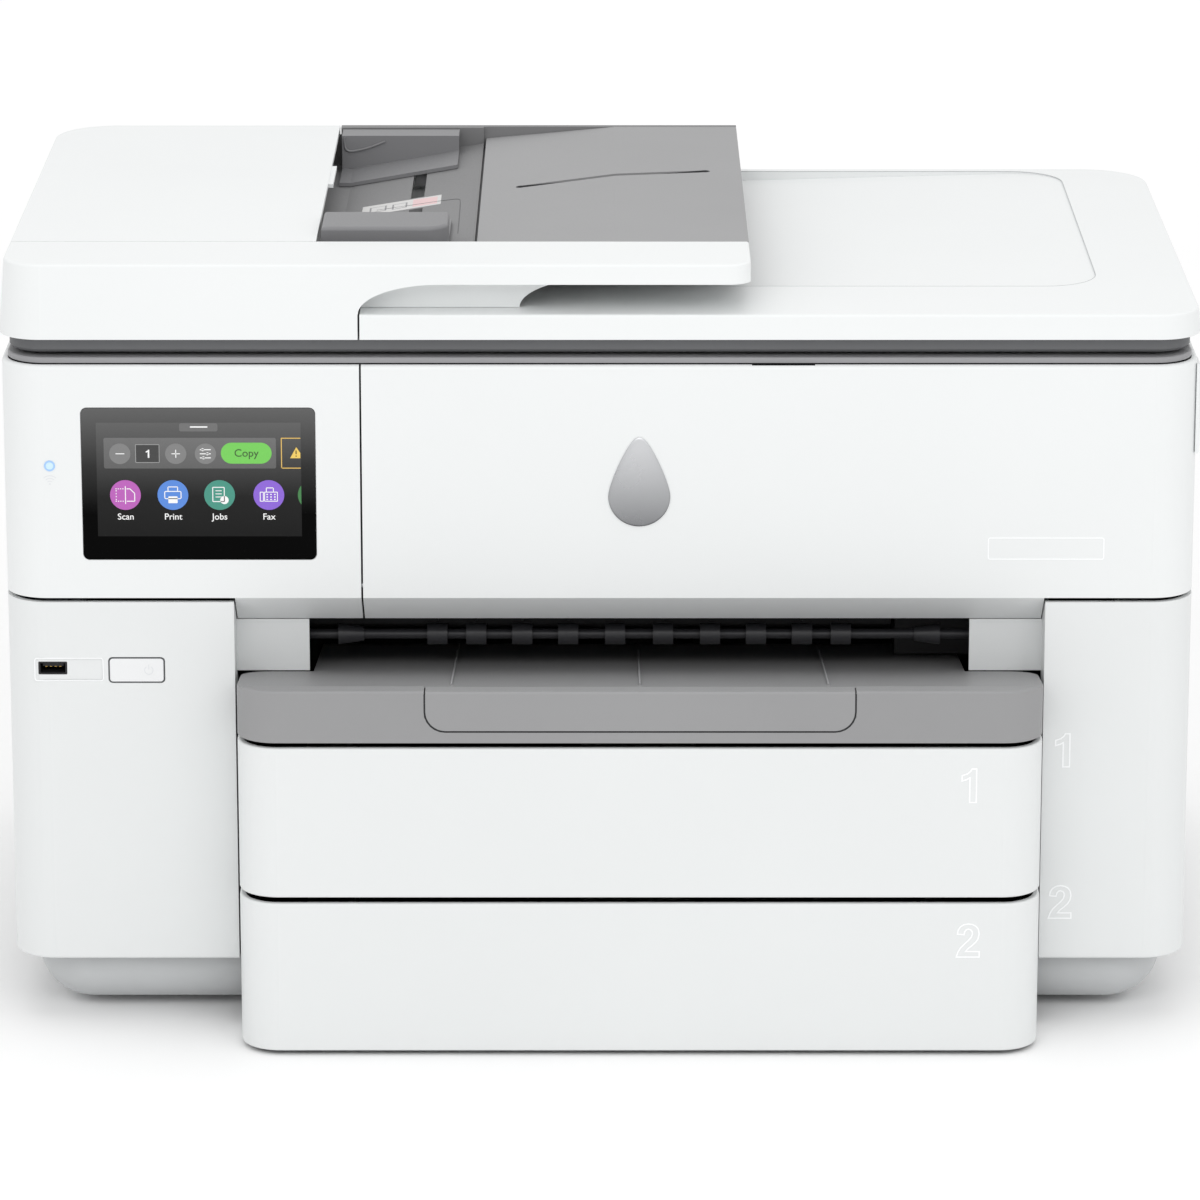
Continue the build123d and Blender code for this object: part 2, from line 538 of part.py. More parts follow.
def cartridge_spans():
    """Left and right x of each cartridge, from left to right."""
    total = sum(CARTRIDGE_WIDTHS) + CARTRIDGE_GAP * (len(CARTRIDGE_WIDTHS) - 1)
    x, spans = CARRIAGE_X - total / 2, []
    for width in CARTRIDGE_WIDTHS:
        spans.append((x, x + width))
        x += width + CARTRIDGE_GAP
    return spans


CARTRIDGE_WALLS = [(a[1] + b[0]) / 2 for a, b in zip(cartridge_spans(), cartridge_spans()[1:])]


def ink_cartridges():
    """Four cartridges side by side in the carriage."""
    out = []
    for x0, x1 in cartridge_spans():
        body = block(x0, x1, -88, 6, 219.3, 274)
        body = fillet(body.edges().filter_by(Axis.X).group_by(Axis.Y)[0], 3.0)
        grip = block(x0 + 3, x1 - 3, -93, -87, 246, 252)
        out.append(body + grip)
    return Compound(children=out)


ROLLER_OFFSETS = (-102.7, -82.9, -59.5, -36.1, -12.2, 12.2, 36.1, 59.5, 82.9, 102.7)


def exit_roller():
    """The exit shaft with its ten rubber rings, its two end cones and its pulley."""
    parts = [rod_x(-CHASSIS_X - 1.7, CHASSIS_X + 1.7, EXIT_Y, ROLLER_Z, 2.5)]
    parts += [rod_x(PAPER_X + x - 5.1, PAPER_X + x + 5.1, EXIT_Y, ROLLER_Z, 5.5) for x in ROLLER_OFFSETS]
    for side in (-1, 1):
        cone = Pos(PAPER_X + side * 146.5, EXIT_Y, ROLLER_Z) * Rot(0, side * 90, 0) * Cone(3.6, 5.5, 13)
        parts.append(cone)
    parts.append(rod_x(-254, -246, EXIT_Y, ROLLER_Z, 9))
    return joined(parts)


def feed_roller():
    """The main feed roller, with its pulley at the left end."""
    return joined([rod_x(-CHASSIS_X - 1.7, CHASSIS_X + 1.7, FEED_Y, ROLLER_Z, 4),
                   rod_x(PAPER_X - 152, 148, FEED_Y, ROLLER_Z, 8), rod_x(-254, -246, FEED_Y, ROLLER_Z, 14)])


def platen():
    """The ribbed platen on its cross beam."""
    deck = block(-150, 146, -96, -8, 196, 202) + block(-CHASSIS_X, 150, -80, -20, 190, 196.5)
    ribs = [block(x, x + 2, -94, -10, 202, 203.2) for x in range(-140, 141, 20)]
    return joined([deck, *ribs])


def star_wheel_bar():
    """The bar over the exit rollers, with its thin star wheels."""
    bar = block(-CHASSIS_X, CHASSIS_X, -119, -108, 208.6, 214)
    wheels = [rod_x(PAPER_X + x - 0.6, PAPER_X + x + 0.6, -113.5, 206.4, 4.8) for x in ROLLER_OFFSETS]
    return joined([bar, *wheels])


def service_station():
    """The capping station under the parked carriage."""
    base = block(152, CHASSIS_X, -80, -3, 174, 198)
    caps = [block(x, x + 17, -62, -24, 198, 203.5) for x in (165, 185, 205, 225)]
    return joined([base, *caps]) - block(160, 252, -72, 0, 180, 194)


def paper_guides():
    """Curved guides that turn the sheet from each tray up to the feed roller."""
    x0, x1, r = PAPER_X - 155, PAPER_X + 155, 36.0
    cy = 136.0

    def quarter(cz, angle):
        tube = rod_x(x0, x1, cy, cz, r + 2.5) - rod_x(x0 - 1, x1 + 1, cy, cz, r)
        return tube & block(x0 - 2, x1 + 2, cy, cy + 60, *sorted((cz, cz + angle * 60)))

    upper = quarter(173, 1) + quarter(173, -1) + block(x0, x1, 24, cy, 209, 211.5)
    lower = quarter(92, -1) + block(x0, x1, cy + r, cy + r + 2.5, 92, 132)
    return Compound(children=[upper, lower])


def electronics():
    """The main circuit board, upright in front of the rear plate, and the boxed power supply."""
    board = block(-235, -20, 182, 183.6, 216, 300)
    chips = [block(-190, -160, 179, 182, 240, 270), block(-140, -122, 179.5, 182, 246, 264),
             block(-100, -80, 174, 182, 224, 232), block(-60, -36, 172, 182, 222, 240),
             block(-225, -205, 172, 182, 222, 232), block(-75, -60, 179.5, 182, 262, 285)]
    coils = [block(x, x + 8, 172, 182, 280, 290) for x in (-220, -205, -190)]
    return Compound(children=[joined([board, *chips, *coils]), slab(20, 215, 112, 180, 222, 268, 2)])


# ---------------------------------------------------------------- scanner
GLASS = (-165.0, 275.0, -120.0, 182.0)
STRIP_GLASS = (-214.0, -190.0, -120.0, 182.0)


def scanner_tub():
    """The scanner's open tub under the glass."""
    outer = prism(plan(-293, 293, -149, 199, 18, 16), 305, Z_BEZEL - 2.8)
    inner = prism(plan(-290.5, 290.5, -146.5, 196.5, 15.5, 13.5), 307.5, Z_BEZEL)
    return outer - inner


def scanner_bezel():
    """The grey frame round the scanner glass."""
    frame = prism(plan(-296, 296, -152, 202, 20, 18), Z_BEZEL - 2.8, Z_BEZEL)
    frame = fillet(edges_at(frame, Z_BEZEL), 1.0)
    for x0, x1, y0, y1 in (GLASS, STRIP_GLASS):
        frame = frame - block(x0, x1, y0, y1, 340, 350)
    return frame


def scanner_glass():
    """The flatbed glass and the feeder's narrow strip glass."""
    panes = [block(x0, x1, y0, y1, Z_BEZEL - 2.8, Z_BEZEL) for x0, x1, y0, y1 in (GLASS, STRIP_GLASS)]
    return Compound(children=panes)


def scan_bar():
    """The contact image sensor on its slider."""
    y, z = SCAN_ROD
    bar = block(SCAN_X - 13, SCAN_X + 13, -119, 181, 328, 342)
    bar = bar - block(SCAN_X - 9, SCAN_X + 9, -112, 174, 338, 343)
    lens = block(SCAN_X - 2, SCAN_X + 2, -112, 174, 336, 341)
    hub = block(SCAN_X - 13, SCAN_X + 13, y - 12, y + 12, z - 7.5, 329)
    return bar + lens + hub - rod_x(SCAN_X - 15, SCAN_X + 15, y, z, 4 + RUN)


# ---------------------------------------------------------------- lid
def hinge_clearance():
    """The space round the hinge ears, cut out of every part of the lid."""
    return joined([rod_x(side * LID_HINGE_X - 13, side * LID_HINGE_X + 13, *LID_AXIS, 7) for side in (-1, 1)])


def lid_base():
    """The dark underside of the lid, with its pocket for the backing pad and its hinge lugs."""
    base = prism(plan(-295, 295, -150, LID_REAR, 18, 30), Z_LID, Z_LID_COVER)
    base = chamfer(edges_at(base, Z_LID), 1.5)
    base = base - slab(-240, 286, -136, 190, Z_LID - 1, Z_LID + 2.5, 3) - hinge_clearance()
    y, z = LID_AXIS
    for side in (-1, 1):
        x = side * LID_HINGE_X
        lug = rod_x(x - 6, x + 6, y, z, 5) + block(x - 6, x + 6, y - 11.5, y, z - 3.5, z + 3.5)
        base = base + (lug - rod_x(x - 7, x + 7, y, z, 2.5 + RUN))
    return base


def lid_backing():
    """The white backing pad that holds the sheet on the glass."""
    return fillet(slab(-238, 284, -134, 188, Z_BEZEL + 0.4, Z_LID + 2.5, 4).edges().group_by(Axis.Z)[0], 0.8)


def lid_blank(top):
    """The outer shape of the lid up to a height, with its draft."""
    face = plan(-LID_HALF_W, LID_HALF_W, FRONT, LID_REAR, CORNER_FRONT, LID_CORNER_REAR)
    blank = prism(face, Z_LID_COVER, top, LID_DRAFT)
    return fillet(edges_at(blank, top), 1.2)


def tilted_slab(drop_from, height):
    """Everything over a plane that falls to the left from (drop_from, height) at 1.5 degrees."""
    return Pos(drop_from, 0, height) * Rot(0, -1.5, 0) * Pos(-290, 0, 30) * Box(600, 500, 60)


def lid_cover():
    """The white lid over the flatbed: a rim, and an inset deck that falls towards the feeder."""
    cover = lid_blank(Z_LID_TOP) & block(PANEL_X + 0.5, 320, -200, 250, 300, 400)
    inset = prism(plan(-130, 253, -91, 190, 28, 28), 340, 400)
    basin = inset & tilted_slab(253, Z_LID_TOP - 0.5)
    hollow = prism(plan(PANEL_X + 3, LID_HALF_W - 5, FRONT + 4, LID_REAR - 4, 18, 30), 350, Z_LID_TOP - 2.8)
    hollow = hollow - tilted_slab(253, Z_LID_TOP - 3.0)
    ribs = [block(x, x + 2, FRONT, LID_REAR, 340, 400) for x in (20, 110, 200)]
    for rib in ribs:
        hollow = hollow - rib
    shell = cover - basin - hollow - hinge_clearance()
    return Compound(children=[shell - inset, shell & inset])


ARCH = (40.0, 15.0)        # half axes of the arch that leads into the document output


def arch(x):
    """An elliptical cutter whose left end is ARCH[0] to the left of x."""
    face = Pos(x, 0, Z_LID_TOP) * Rot(90, 0, 0) * Ellipse(*ARCH)
    return extrude(face, amount=200, both=True)


def adf_body():
    """The white body of the document feeder, with the strip that carries the input tray's front."""
    blank = lid_blank(Z_ADF)
    left = blank & block(-320, PANEL_X - 0.5, -200, 250, 300, 420)
    strip_end = prism(plan(-250, ADF_RIGHT_X + 3, FRONT, 60, 14, 14), Z_LID_COVER, Z_ADF, LID_DRAFT)
    strip_end = fillet(edges_at(strip_end, Z_ADF), 1.2)
    strip = blank & strip_end & block(PANEL_X - 1, ADF_RIGHT_X, -200, ADF_FRONT_Y, Z_STRIP, 420)
    hollow = block(PANEL_X - 5, ADF_RIGHT_X - 5, FRONT + 6, ADF_FRONT_Y - 2.5, Z_STRIP + 2.5, Z_ADF - 2.5)
    x, z = ADF_TRAY_AXIS
    corner = blank & block(PANEL_X - 1, -80, -200, FRONT + 18, Z_LID_TOP + 0.2, Z_STRIP + 1) - arch(-80)
    fairing = block(PANEL_X - 1, 0, FRONT + 17, FRONT + 19.5, Z_LID_TOP + 0.2, Z_STRIP + 1) - arch(0)
    cavity = prism(plan(-LID_HALF_W + 6, -100, FRONT + 6, LID_REAR - 5, 17, 30), Z_LID_COVER + 2.5, Z_ADF - 2.5)
    cavity = cavity & block(-320, PANEL_X - 3, -200, 250, 300, 420)
    window = block(-216, -188, -118, 180, Z_LID_COVER - 1, Z_LID_COVER + 4)
    open_top = block(-320, 0, ADF_FRONT_Y, 250, 370.6, 420)
    exit_slot = block(PANEL_X - 5, PANEL_X + 5, -92, 186, Z_LID_COVER + 2.5, 372)
    left = left - cavity - open_top - exit_slot - window
    body = joined([left, strip, corner, fairing]) - hollow - hinge_clearance()
    ear_x, ear_z = ADF_AXIS
    for y in ADF_EARS:
        ear = block(ear_x - 2.0, ear_x + 2.0, y, y + ADF_EAR_W, 369, ear_z) + rod_y(ear_x, y, y + ADF_EAR_W, ear_z, 2.0)
        body = body + (ear - rod_y(ear_x, y - 1, y + ADF_EAR_W + 1, ear_z, 1.0 + RUN))
    return body - rod_y(x, ADF_FRONT_Y - 4, ADF_FRONT_Y + 1, z, ADF_PEG_R + RUN)


def floor_z(x):
    """Height of the feeder floor's top face."""
    return 375.0 + max(0.0, (x + 135.0)) * (387.4 - 375.0) / (135.0 + ADF_SEAM_X - 0.5)


ADF_ROLLERS = {"pick": (-185.0, 384.5, 8.0), "feed": (-254.0, 376.5, 11.0)}   # x, z, radius
GUIDE_TRAVEL = 60.0
GUIDE_SLOTS = ((-36, -16 + GUIDE_TRAVEL), (132 - GUIDE_TRAVEL, 152))
GUIDE_SLOT_X = -97.0


def adf_floor():
    """The sloping floor of the feeder, with its side walls, the guides' slots and the rear rim."""
    right = ADF_SEAM_X - 0.5
    top = [(-222, 375.0), (-135, 375.0), (right, floor_z(right))]
    under = [(x, z - 2.5) for x, z in reversed(top)]
    floor = along_y(top + under, ADF_FRONT_Y + 0.3, 189.7)
    side = [(-272, 363), (-215, 363), (-215, 374), (-135, 374), (right, 386), (right, 392), (-272, 392)]
    walls = [along_y(side, y, y + 2) for y in (ADF_FRONT_Y + 0.3, 187.7)]
    rim = block(ADF_DOOR_X + 0.8, ADF_RIGHT_X, 190.5, LID_REAR - 3.2, 384, Z_ADF)
    rim = rim + block(ADF_DOOR_X + 0.8, right, 187.7, 191, 384, Z_ADF)
    whole = joined([floor, *walls, rim])
    for y0, y1 in GUIDE_SLOTS:
        whole = whole - block(GUIDE_SLOT_X - 3.6, GUIDE_SLOT_X + 3.6, y0, y1, 360, 400)
    for x, z, _ in ADF_ROLLERS.values():
        whole = whole - rod_y(x, -110, 200, z, 3 + RUN)
    x, z = ADF_TRAY_AXIS
    return whole - rod_y(x, 185, 193.5, z, ADF_PEG_R + RUN)


def guide_foot(x0, x1, low, high, y0, y1):
    """A plate that follows the floor's slope, between two heights over the floor."""
    xs = (x0, -135.0, x1)
    points = [(x, floor_z(x) + low) for x in xs] + [(x, floor_z(x) + high) for x in reversed(xs)]
    return along_y(points, y0, y1)


def upright(x0, x1, top, y0, y1):
    """A block that stands on the sloping floor, 0.3 mm clear of it."""
    points = [(x, floor_z(x) + 0.3) for x in (x0, -135.0, x1)] + [(x1, top), (x0, top)]
    return along_y(points, y0, y1)


def adf_guide_front():
    """The front paper guide: a hollow rounded handle with a foot on the floor."""
    x0, x1, y0, y1 = -141.0, -77.0, -84.0, -46.0
    handle = upright(x0, x1, Z_GUIDE, y0, y1) & prism(plan(x0 - 30, x1, y0, y1, 12, 2), 350, Z_GUIDE)
    handle = fillet(edges_at(handle, Z_GUIDE), 2.0)
    hollow = upright(x0 + 2.5, x1 - 2.5, Z_GUIDE - 2.5, y0 + 2.5, y1 - 2.5)
    hollow = (hollow + Pos(0, 0, -3) * hollow) & prism(plan(x0 - 20, x1 - 2.5, y0 + 2.5, y1 - 2.5, 9.5, 1), 350, 400)
    foot = guide_foot(x0, x1, 0.3, 2.3, y1 - 1, -6.0)
    leg = block(GUIDE_SLOT_X - 3, GUIDE_SLOT_X + 3, -30, -20, 374, floor_z(GUIDE_SLOT_X) + 1.5)
    return handle - hollow + foot + leg


def adf_guide_rear():
    """The rear paper guide: an upright plate with a foot and a top flange."""
    x0, x1, y = -141.0, -77.0, 168.0
    plate = upright(x0, x1, 395.5, y, y + 2.5) + block(x0, x1, y, y + 17.5, 393.0, 395.5)
    foot = guide_foot(x0, x1, 0.3, 2.3, 130.0, y + 1)
    leg = block(GUIDE_SLOT_X - 3, GUIDE_SLOT_X + 3, 136, 146, 374, floor_z(GUIDE_SLOT_X) + 1.5)
    return plate + foot + leg


def adf_input_tray():
    """The grey input tray: a plate that rises to the right, with its slot and its two hinge pegs."""
    left, right = ADF_SEAM_X + 0.9, ADF_RIGHT_X
    front, rear = ADF_FRONT_Y + 0.4, 190.1
    wedge = along_y([(left, Z_STRIP), (right, Z_STRIP), (right, Z_ADF), (8, Z_ADF), (left, 389.6)], front, rear)
    slot = Pos(7, 62.8, Z_STRIP + 2.5) * Rot(0, 0, 10.4) * extrude(SlotOverall(104, 5.0), amount=12)
    pocket = block(left + 8, right - 4, front + 5, rear - 5, Z_STRIP - 1, Z_STRIP + 0.9)
    x, z = ADF_TRAY_AXIS
    pegs = [rod_y(x, front - 2.2, front + 2, z, ADF_PEG_R), rod_y(x, rear - 2, rear + 2.4, z, ADF_PEG_R)]
    return joined([wedge - slot - pocket, *pegs])


def adf_door():
    """The feeder's jam door: a top plate with a skirt round its left and rear edges and a finger tab."""
    blank = lid_blank(Z_ADF) & block(-320, ADF_DOOR_X, ADF_FRONT_Y + 0.8, 250, 372.0, 420)
    inner = prism(plan(-LID_HALF_W + 6, 0, -300, LID_REAR - 5.5, 10, 30), 350, Z_ADF - 2.6)
    tab = block(ADF_DOOR_X - 1, ADF_DOOR_X + 2.6, 42, 88, Z_ADF - 2.6, Z_ADF - 0.6)
    door = blank - inner + tab
    for y in ADF_EARS:
        door = door - block(-305, -292.5, y - 0.5, y + ADF_EAR_W + 0.5, 365, 378)
        door = door + rod_y(ADF_AXIS[0], y - 1, y + ADF_EAR_W + 1, ADF_AXIS[1], 1.0)
    return door


def adf_roller(name, rings):
    """A feeder roller on its shaft along Y."""
    x, z, r = ADF_ROLLERS[name]
    shaft = rod_y(x, ADF_FRONT_Y + 0.6, 189.4, z, 3)
    return joined([shaft, *[rod_y(x, y, y + w, z, r) for y, w in rings]])


# ---------------------------------------------------------------- the table of nodes
def nodes():
    """Every node's name and shape."""
    ring = cover_ring()
    table = {
        "base_pan": base_pan(), "rubber_feet": rubber_feet(),
        "left_side_cover": left_side_cover(ring), "right_side_cover": side_cover(ring, 1),
        "rear_cover": rear_cover(ring), "control_panel_bezel": control_panel_bezel(ring),
        "touchscreen_glass": touchscreen_glass(), "status_light": status_light(),
        "front_door": front_door(ring), "door_emblem": door_emblem(), "hinge_hardware": hinge_hardware(),
        "power_button": power_button(), "usb_board": usb_board(), "rear_ports": rear_ports(),
        "output_tray": output_tray(), "output_extension": output_extension(),
        "chassis_frame": chassis_frame(), "guide_rods": guide_rods(), "drive_motors": drive_motors(),
        "carriage_belt": carriage_belt(), "drive_pulley": pulley(PULLEY_X), "idler_pulley": pulley(-PULLEY_X),
        "carriage": carriage(), "ink_cartridges": ink_cartridges(), "exit_roller": exit_roller(),
        "feed_roller": feed_roller(), "platen": platen(), "star_wheel_bar": star_wheel_bar(),
        "service_station": service_station(), "paper_guides": paper_guides(), "electronics": electronics(),
        "scanner_tub": scanner_tub(), "scanner_bezel": scanner_bezel(),
        "scanner_glass": scanner_glass(), "scan_bar": scan_bar(),
        "lid_base": lid_base(), "lid_backing": lid_backing(), "lid_cover": lid_cover(), "adf_body": adf_body(),
        "adf_floor": adf_floor(), "adf_input_tray": adf_input_tray(), "adf_door": adf_door(),
        "adf_guide_front": adf_guide_front(), "adf_guide_rear": adf_guide_rear(),
        "adf_pick_roller": adf_roller("pick", [(20, 40), (90, 40)]),
        "adf_feed_roller": adf_roller("feed", [(-80, 60), (10, 80), (110, 60)]),
    }
    for number, low in ((1, TRAY_LOW + TRAY_PITCH), (2, TRAY_LOW)):
        table[f"tray_{number}_cover"] = tray_cover(low)
        table[f"tray_{number}_box"] = tray_box(low)
        table[f"tray_{number}_guide_left"] = tray_guide(low, -1)
        table[f"tray_{number}_guide_right"] = tray_guide(low, 1)
        table[f"tray_{number}_length_guide"] = tray_length_guide(low)
        table[f"pick_arm_{number}"] = pick_arm(low)
        table[f"pick_roller_{number}"] = pick_roller(low)
    return table


def main():
    os.makedirs("parts", exist_ok=True)
    for name, shape in nodes().items():
        export_step(shape, f"parts/{name}.step")


main()
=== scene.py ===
"""Looks for the wide-format inkjet all-in-one: materials for every CAD node, and the small pieces that
CAD leaves out (display, labels, numerals, icons, and strips and lines of painted shade, shadow and
highlight), on a pale studio floor."""

import bpy
import bmesh
import json
import math
from mathutils import Vector, Matrix


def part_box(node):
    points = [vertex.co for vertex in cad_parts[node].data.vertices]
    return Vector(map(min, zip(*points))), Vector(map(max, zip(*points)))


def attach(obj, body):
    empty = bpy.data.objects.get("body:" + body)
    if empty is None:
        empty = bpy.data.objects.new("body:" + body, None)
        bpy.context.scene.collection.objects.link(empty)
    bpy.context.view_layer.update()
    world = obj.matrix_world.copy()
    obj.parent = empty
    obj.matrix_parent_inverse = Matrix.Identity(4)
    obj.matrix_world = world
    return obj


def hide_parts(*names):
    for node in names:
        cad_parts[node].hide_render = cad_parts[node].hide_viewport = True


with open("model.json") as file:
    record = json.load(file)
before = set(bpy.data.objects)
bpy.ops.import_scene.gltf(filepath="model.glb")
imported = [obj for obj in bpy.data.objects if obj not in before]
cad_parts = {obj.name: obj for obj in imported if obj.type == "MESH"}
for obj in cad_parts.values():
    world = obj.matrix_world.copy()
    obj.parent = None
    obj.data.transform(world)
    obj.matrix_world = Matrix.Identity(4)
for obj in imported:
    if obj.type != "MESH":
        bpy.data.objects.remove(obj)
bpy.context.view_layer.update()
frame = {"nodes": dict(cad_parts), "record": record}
NODES = frame["nodes"]
MM = 0.001
QUARTER = [math.radians(i * 9) for i in range(11)]      # angles of a quarter turn, in ten steps


# ---------------------------------------------------------------- materials
SCREEN_GLOW = 0.02      # share of the display's brightness that doesn't depend on the studio's light
GRAIN_BUMP = 0.00008    # height of the moulded grain, in metres
COARSE_BUMP = 0.0001    # height of brushed lines and of rubber's texture, in metres


def srgb(r, g, b):
    """Linear colour of an sRGB triple from 0 to 255."""
    def one(v):
        v /= 255.0
        return v / 12.92 if v <= 0.04045 else ((v + 0.055) / 1.055) ** 2.4
    return (one(r), one(g), one(b), 1.0)


def shade(colour, k):
    """A colour made lighter or darker by the factor k."""
    return tuple(min(1.0, c * k) for c in colour[:3]) + (1.0,)


class Nodes:
    """A short way to add and link shader nodes."""

    def __init__(self, name):
        self.material = bpy.data.materials.new(name)
        self.material.use_nodes = True
        self.tree = self.material.node_tree
        self.shader = self.tree.nodes["Principled BSDF"]
        self.coords = self.add("ShaderNodeTexCoord").outputs["Object"]

    def add(self, kind):
        return self.tree.nodes.new(kind)

    def link(self, source, target):
        self.tree.links.new(source, target)

    def noise(self, scale, detail=2.0, stretch=(1, 1, 1)):
        mapping = self.add("ShaderNodeMapping")
        mapping.inputs["Scale"].default_value = stretch
        self.link(self.coords, mapping.inputs["Vector"])
        node = self.add("ShaderNodeTexNoise")
        node.inputs["Scale"].default_value = scale
        node.inputs["Detail"].default_value = detail
        self.link(mapping.outputs["Vector"], node.inputs["Vector"])
        return node.outputs["Fac"]

    def spread(self, source, low, high, start=0.3, stop=0.7):
        """Maps a value from start..stop to low..high."""
        node = self.add("ShaderNodeMapRange")
        for key, value in (("From Min", start), ("From Max", stop), ("To Min", low), ("To Max", high)):
            node.inputs[key].default_value = value
        self.link(source, node.inputs["Value"])
        return node.outputs["Result"]

    def ramp(self, source, stops):
        """A colour ramp, from (place, colour) pairs."""
        node = self.add("ShaderNodeValToRGB")
        ramp = node.color_ramp
        while len(ramp.elements) < len(stops):
            ramp.elements.new(0.5)
        for element, (at, colour) in zip(ramp.elements, stops):
            element.position = at
            element.color = colour
        self.link(source, node.inputs["Fac"])
        return node.outputs["Color"]

    def bump(self, source, strength, distance):
        """Bumps the shader's surface by a value."""
        node = self.add("ShaderNodeBump")
        node.inputs["Strength"].default_value = strength
        node.inputs["Distance"].default_value = distance
        self.link(source, node.inputs["Height"])
        self.link(node.outputs["Normal"], self.shader.inputs["Normal"])

    def axis(self, letter):
        """The object's own X, Y or Z coordinate."""
        split = self.add("ShaderNodeSeparateXYZ")
        self.link(self.coords, split.inputs["Vector"])
        return split.outputs[letter]

    def set(self, **values):
        """Sets sockets of the shader; an underscore in a name stands for a space."""
        for key, value in values.items():
            self.shader.inputs[key.replace("_", " ")].default_value = value


def moulded(name, colour, rough=0.45, grain=1400.0, depth=0.12, mottle=0.03):
    """Moulded plastic: a fine spark-eroded grain, a faint mottle in its colour and a varying gloss."""
    m = Nodes(name)
    fine = m.noise(grain, 3.0)
    broad = m.spread(m.noise(9.0, 3.0), 0.0, 1.0)
    tint = m.ramp(broad, [(0.0, shade(colour, 1 - mottle)), (1.0, shade(colour, 1 + mottle))])
    m.link(tint, m.shader.inputs["Base Color"])
    m.link(m.spread(fine, rough - 0.05, rough + 0.05), m.shader.inputs["Roughness"])
    m.bump(fine, depth, GRAIN_BUMP)
    m.set(IOR=1.46)
    return m.material


def brushed(name, colour, rough=0.3, stretch=(1, 60, 60)):
    """Drawn or ground metal with fine lines along its length."""
    m = Nodes(name)
    lines = m.noise(60.0, 4.0, stretch)
    m.link(m.ramp(lines, [(0.3, shade(colour, 0.85)), (0.7, colour)]), m.shader.inputs["Base Color"])
    m.link(m.spread(lines, rough - 0.08, rough + 0.1), m.shader.inputs["Roughness"])
    m.bump(lines, 0.05, COARSE_BUMP)
    m.set(Metallic=1.0)
    return m.material


def rubbery(name, colour, rough=0.75):
    """Rubber with a ground, slightly dusty surface."""
    m = Nodes(name)
    fine = m.noise(2200.0, 4.0)
    dust = m.noise(35.0, 5.0)
    m.link(m.ramp(dust, [(0.35, colour), (0.75, shade(colour, 1.6))]), m.shader.inputs["Base Color"])
    m.link(m.spread(dust, rough - 0.1, rough + 0.1), m.shader.inputs["Roughness"])
    m.bump(fine, 0.25, COARSE_BUMP)
    return m.material


def glowing(name, colour, strength=0.9, grain=0.02):
    """A lit part of the display, with the faint unevenness of its pixels' brightness."""
    m = Nodes(name)
    fine = m.noise(3500.0, 1.0)
    uneven = m.spread(fine, 0.0, 1.0)
    tint = m.ramp(uneven, [(0.0, shade(colour, 1 - grain)), (1.0, shade(colour, 1 + grain))])
    m.link(tint, m.shader.inputs["Emission Color"])
    m.link(tint, m.shader.inputs["Base Color"])
    m.link(m.spread(fine, 0.35, 0.45), m.shader.inputs["Roughness"])
    m.set(Emission_Strength=strength * SCREEN_GLOW)
    return m.material


def gradient_z(name, stops, z0, z1, rough, emission=0.0, shine=0.5):
    """A glossy surface whose colour runs from z0 at the bottom to z1 at the top, in metres."""
    m = Nodes(name)
    colour = m.ramp(m.spread(m.axis("Z"), 0.0, 1.0, z0, z1), stops)
    m.link(colour, m.shader.inputs["Base Color"])
    m.link(m.spread(m.noise(40.0, 3.0), rough * 0.8, rough * 1.3), m.shader.inputs["Roughness"])
    m.set(Specular_IOR_Level=shine)
    if emission:
        m.link(colour, m.shader.inputs["Emission Color"])
        m.set(Emission_Strength=emission * SCREEN_GLOW)
    return m.material


def clear_glass():
    """Flatbed glass: a thin, slightly green pane, with the faintest trace of wiping."""
    m = Nodes("flatbed_glass")
    wiped = m.noise(5.0, 2.0, (1, 3, 1))
    green = m.ramp(wiped, [(0.2, srgb(128, 142, 138)), (0.8, srgb(134, 148, 144))])
    m.link(green, m.shader.inputs["Base Color"])
    m.link(m.spread(wiped, 0.03, 0.06), m.shader.inputs["Roughness"])
    m.set(Alpha=0.3, IOR=1.5)
    return m.material


MOULDED = {      # slot: colour, roughness, grain's scale, grain's strength, mottle
    "white_shell": (srgb(232, 234, 234), 0.42, 1500.0, 0.10, 0.006),
    # pan_grey is painted shade: the base pan's grey stands in for the shade on its downward-facing faces.
    "pan_grey": (srgb(194, 196, 197), 0.5, 1200.0, 0.14, 0.02),
    "button_white": (srgb(232, 233, 234), 0.36, 1800.0, 0.06, 0.006),
    "board_green": (srgb(24, 84, 52), 0.4, 500.0, 0.25, 0.12),
    "port_black": (srgb(30, 30, 32), 0.55),
    "tray_grey": (srgb(147, 147, 148), 0.5, 1300.0, 0.22, 0.02),
    "extension_grey": (srgb(149, 149, 150), 0.48, 1300.0, 0.2, 0.02),
    "pulley_plastic": (srgb(225, 224, 218), 0.4, 900.0),
    "engine_black": (srgb(34, 34, 36), 0.5, 1100.0, 0.2, 0.06),
    "cartridge_black": (srgb(28, 28, 31), 0.35, 1500.0, 0.08, 0.05),
    "roller_dark": (srgb(50, 50, 53), 0.38, 900.0, 0.15, 0.08),
    "guide_black": (srgb(36, 36, 38), 0.5),
    "tub_black": (srgb(44, 44, 47), 0.55),
    "bezel_grey": (srgb(150, 150, 152), 0.5, 1300.0, 0.15, 0.02),
    "scan_black": (srgb(22, 22, 24), 0.45),
    "lid_dark": (srgb(94, 95, 97), 0.5, 1200.0, 0.15, 0.03),
    "pad_white": (srgb(238, 238, 236), 0.8, 700.0, 0.3, 0.02),
    "feeder_floor": (srgb(124, 124, 125), 0.5, 1300.0, 0.2, 0.02),
    "feeder_plate": (srgb(153, 153, 154), 0.55, 1500.0, 0.3, 0.02),
    "paper_box": (srgb(52, 52, 55), 0.5, 1100.0, 0.18, 0.04),
    "guide_grey": (srgb(127, 127, 129), 0.45, 1300.0, 0.2, 0.02),
}
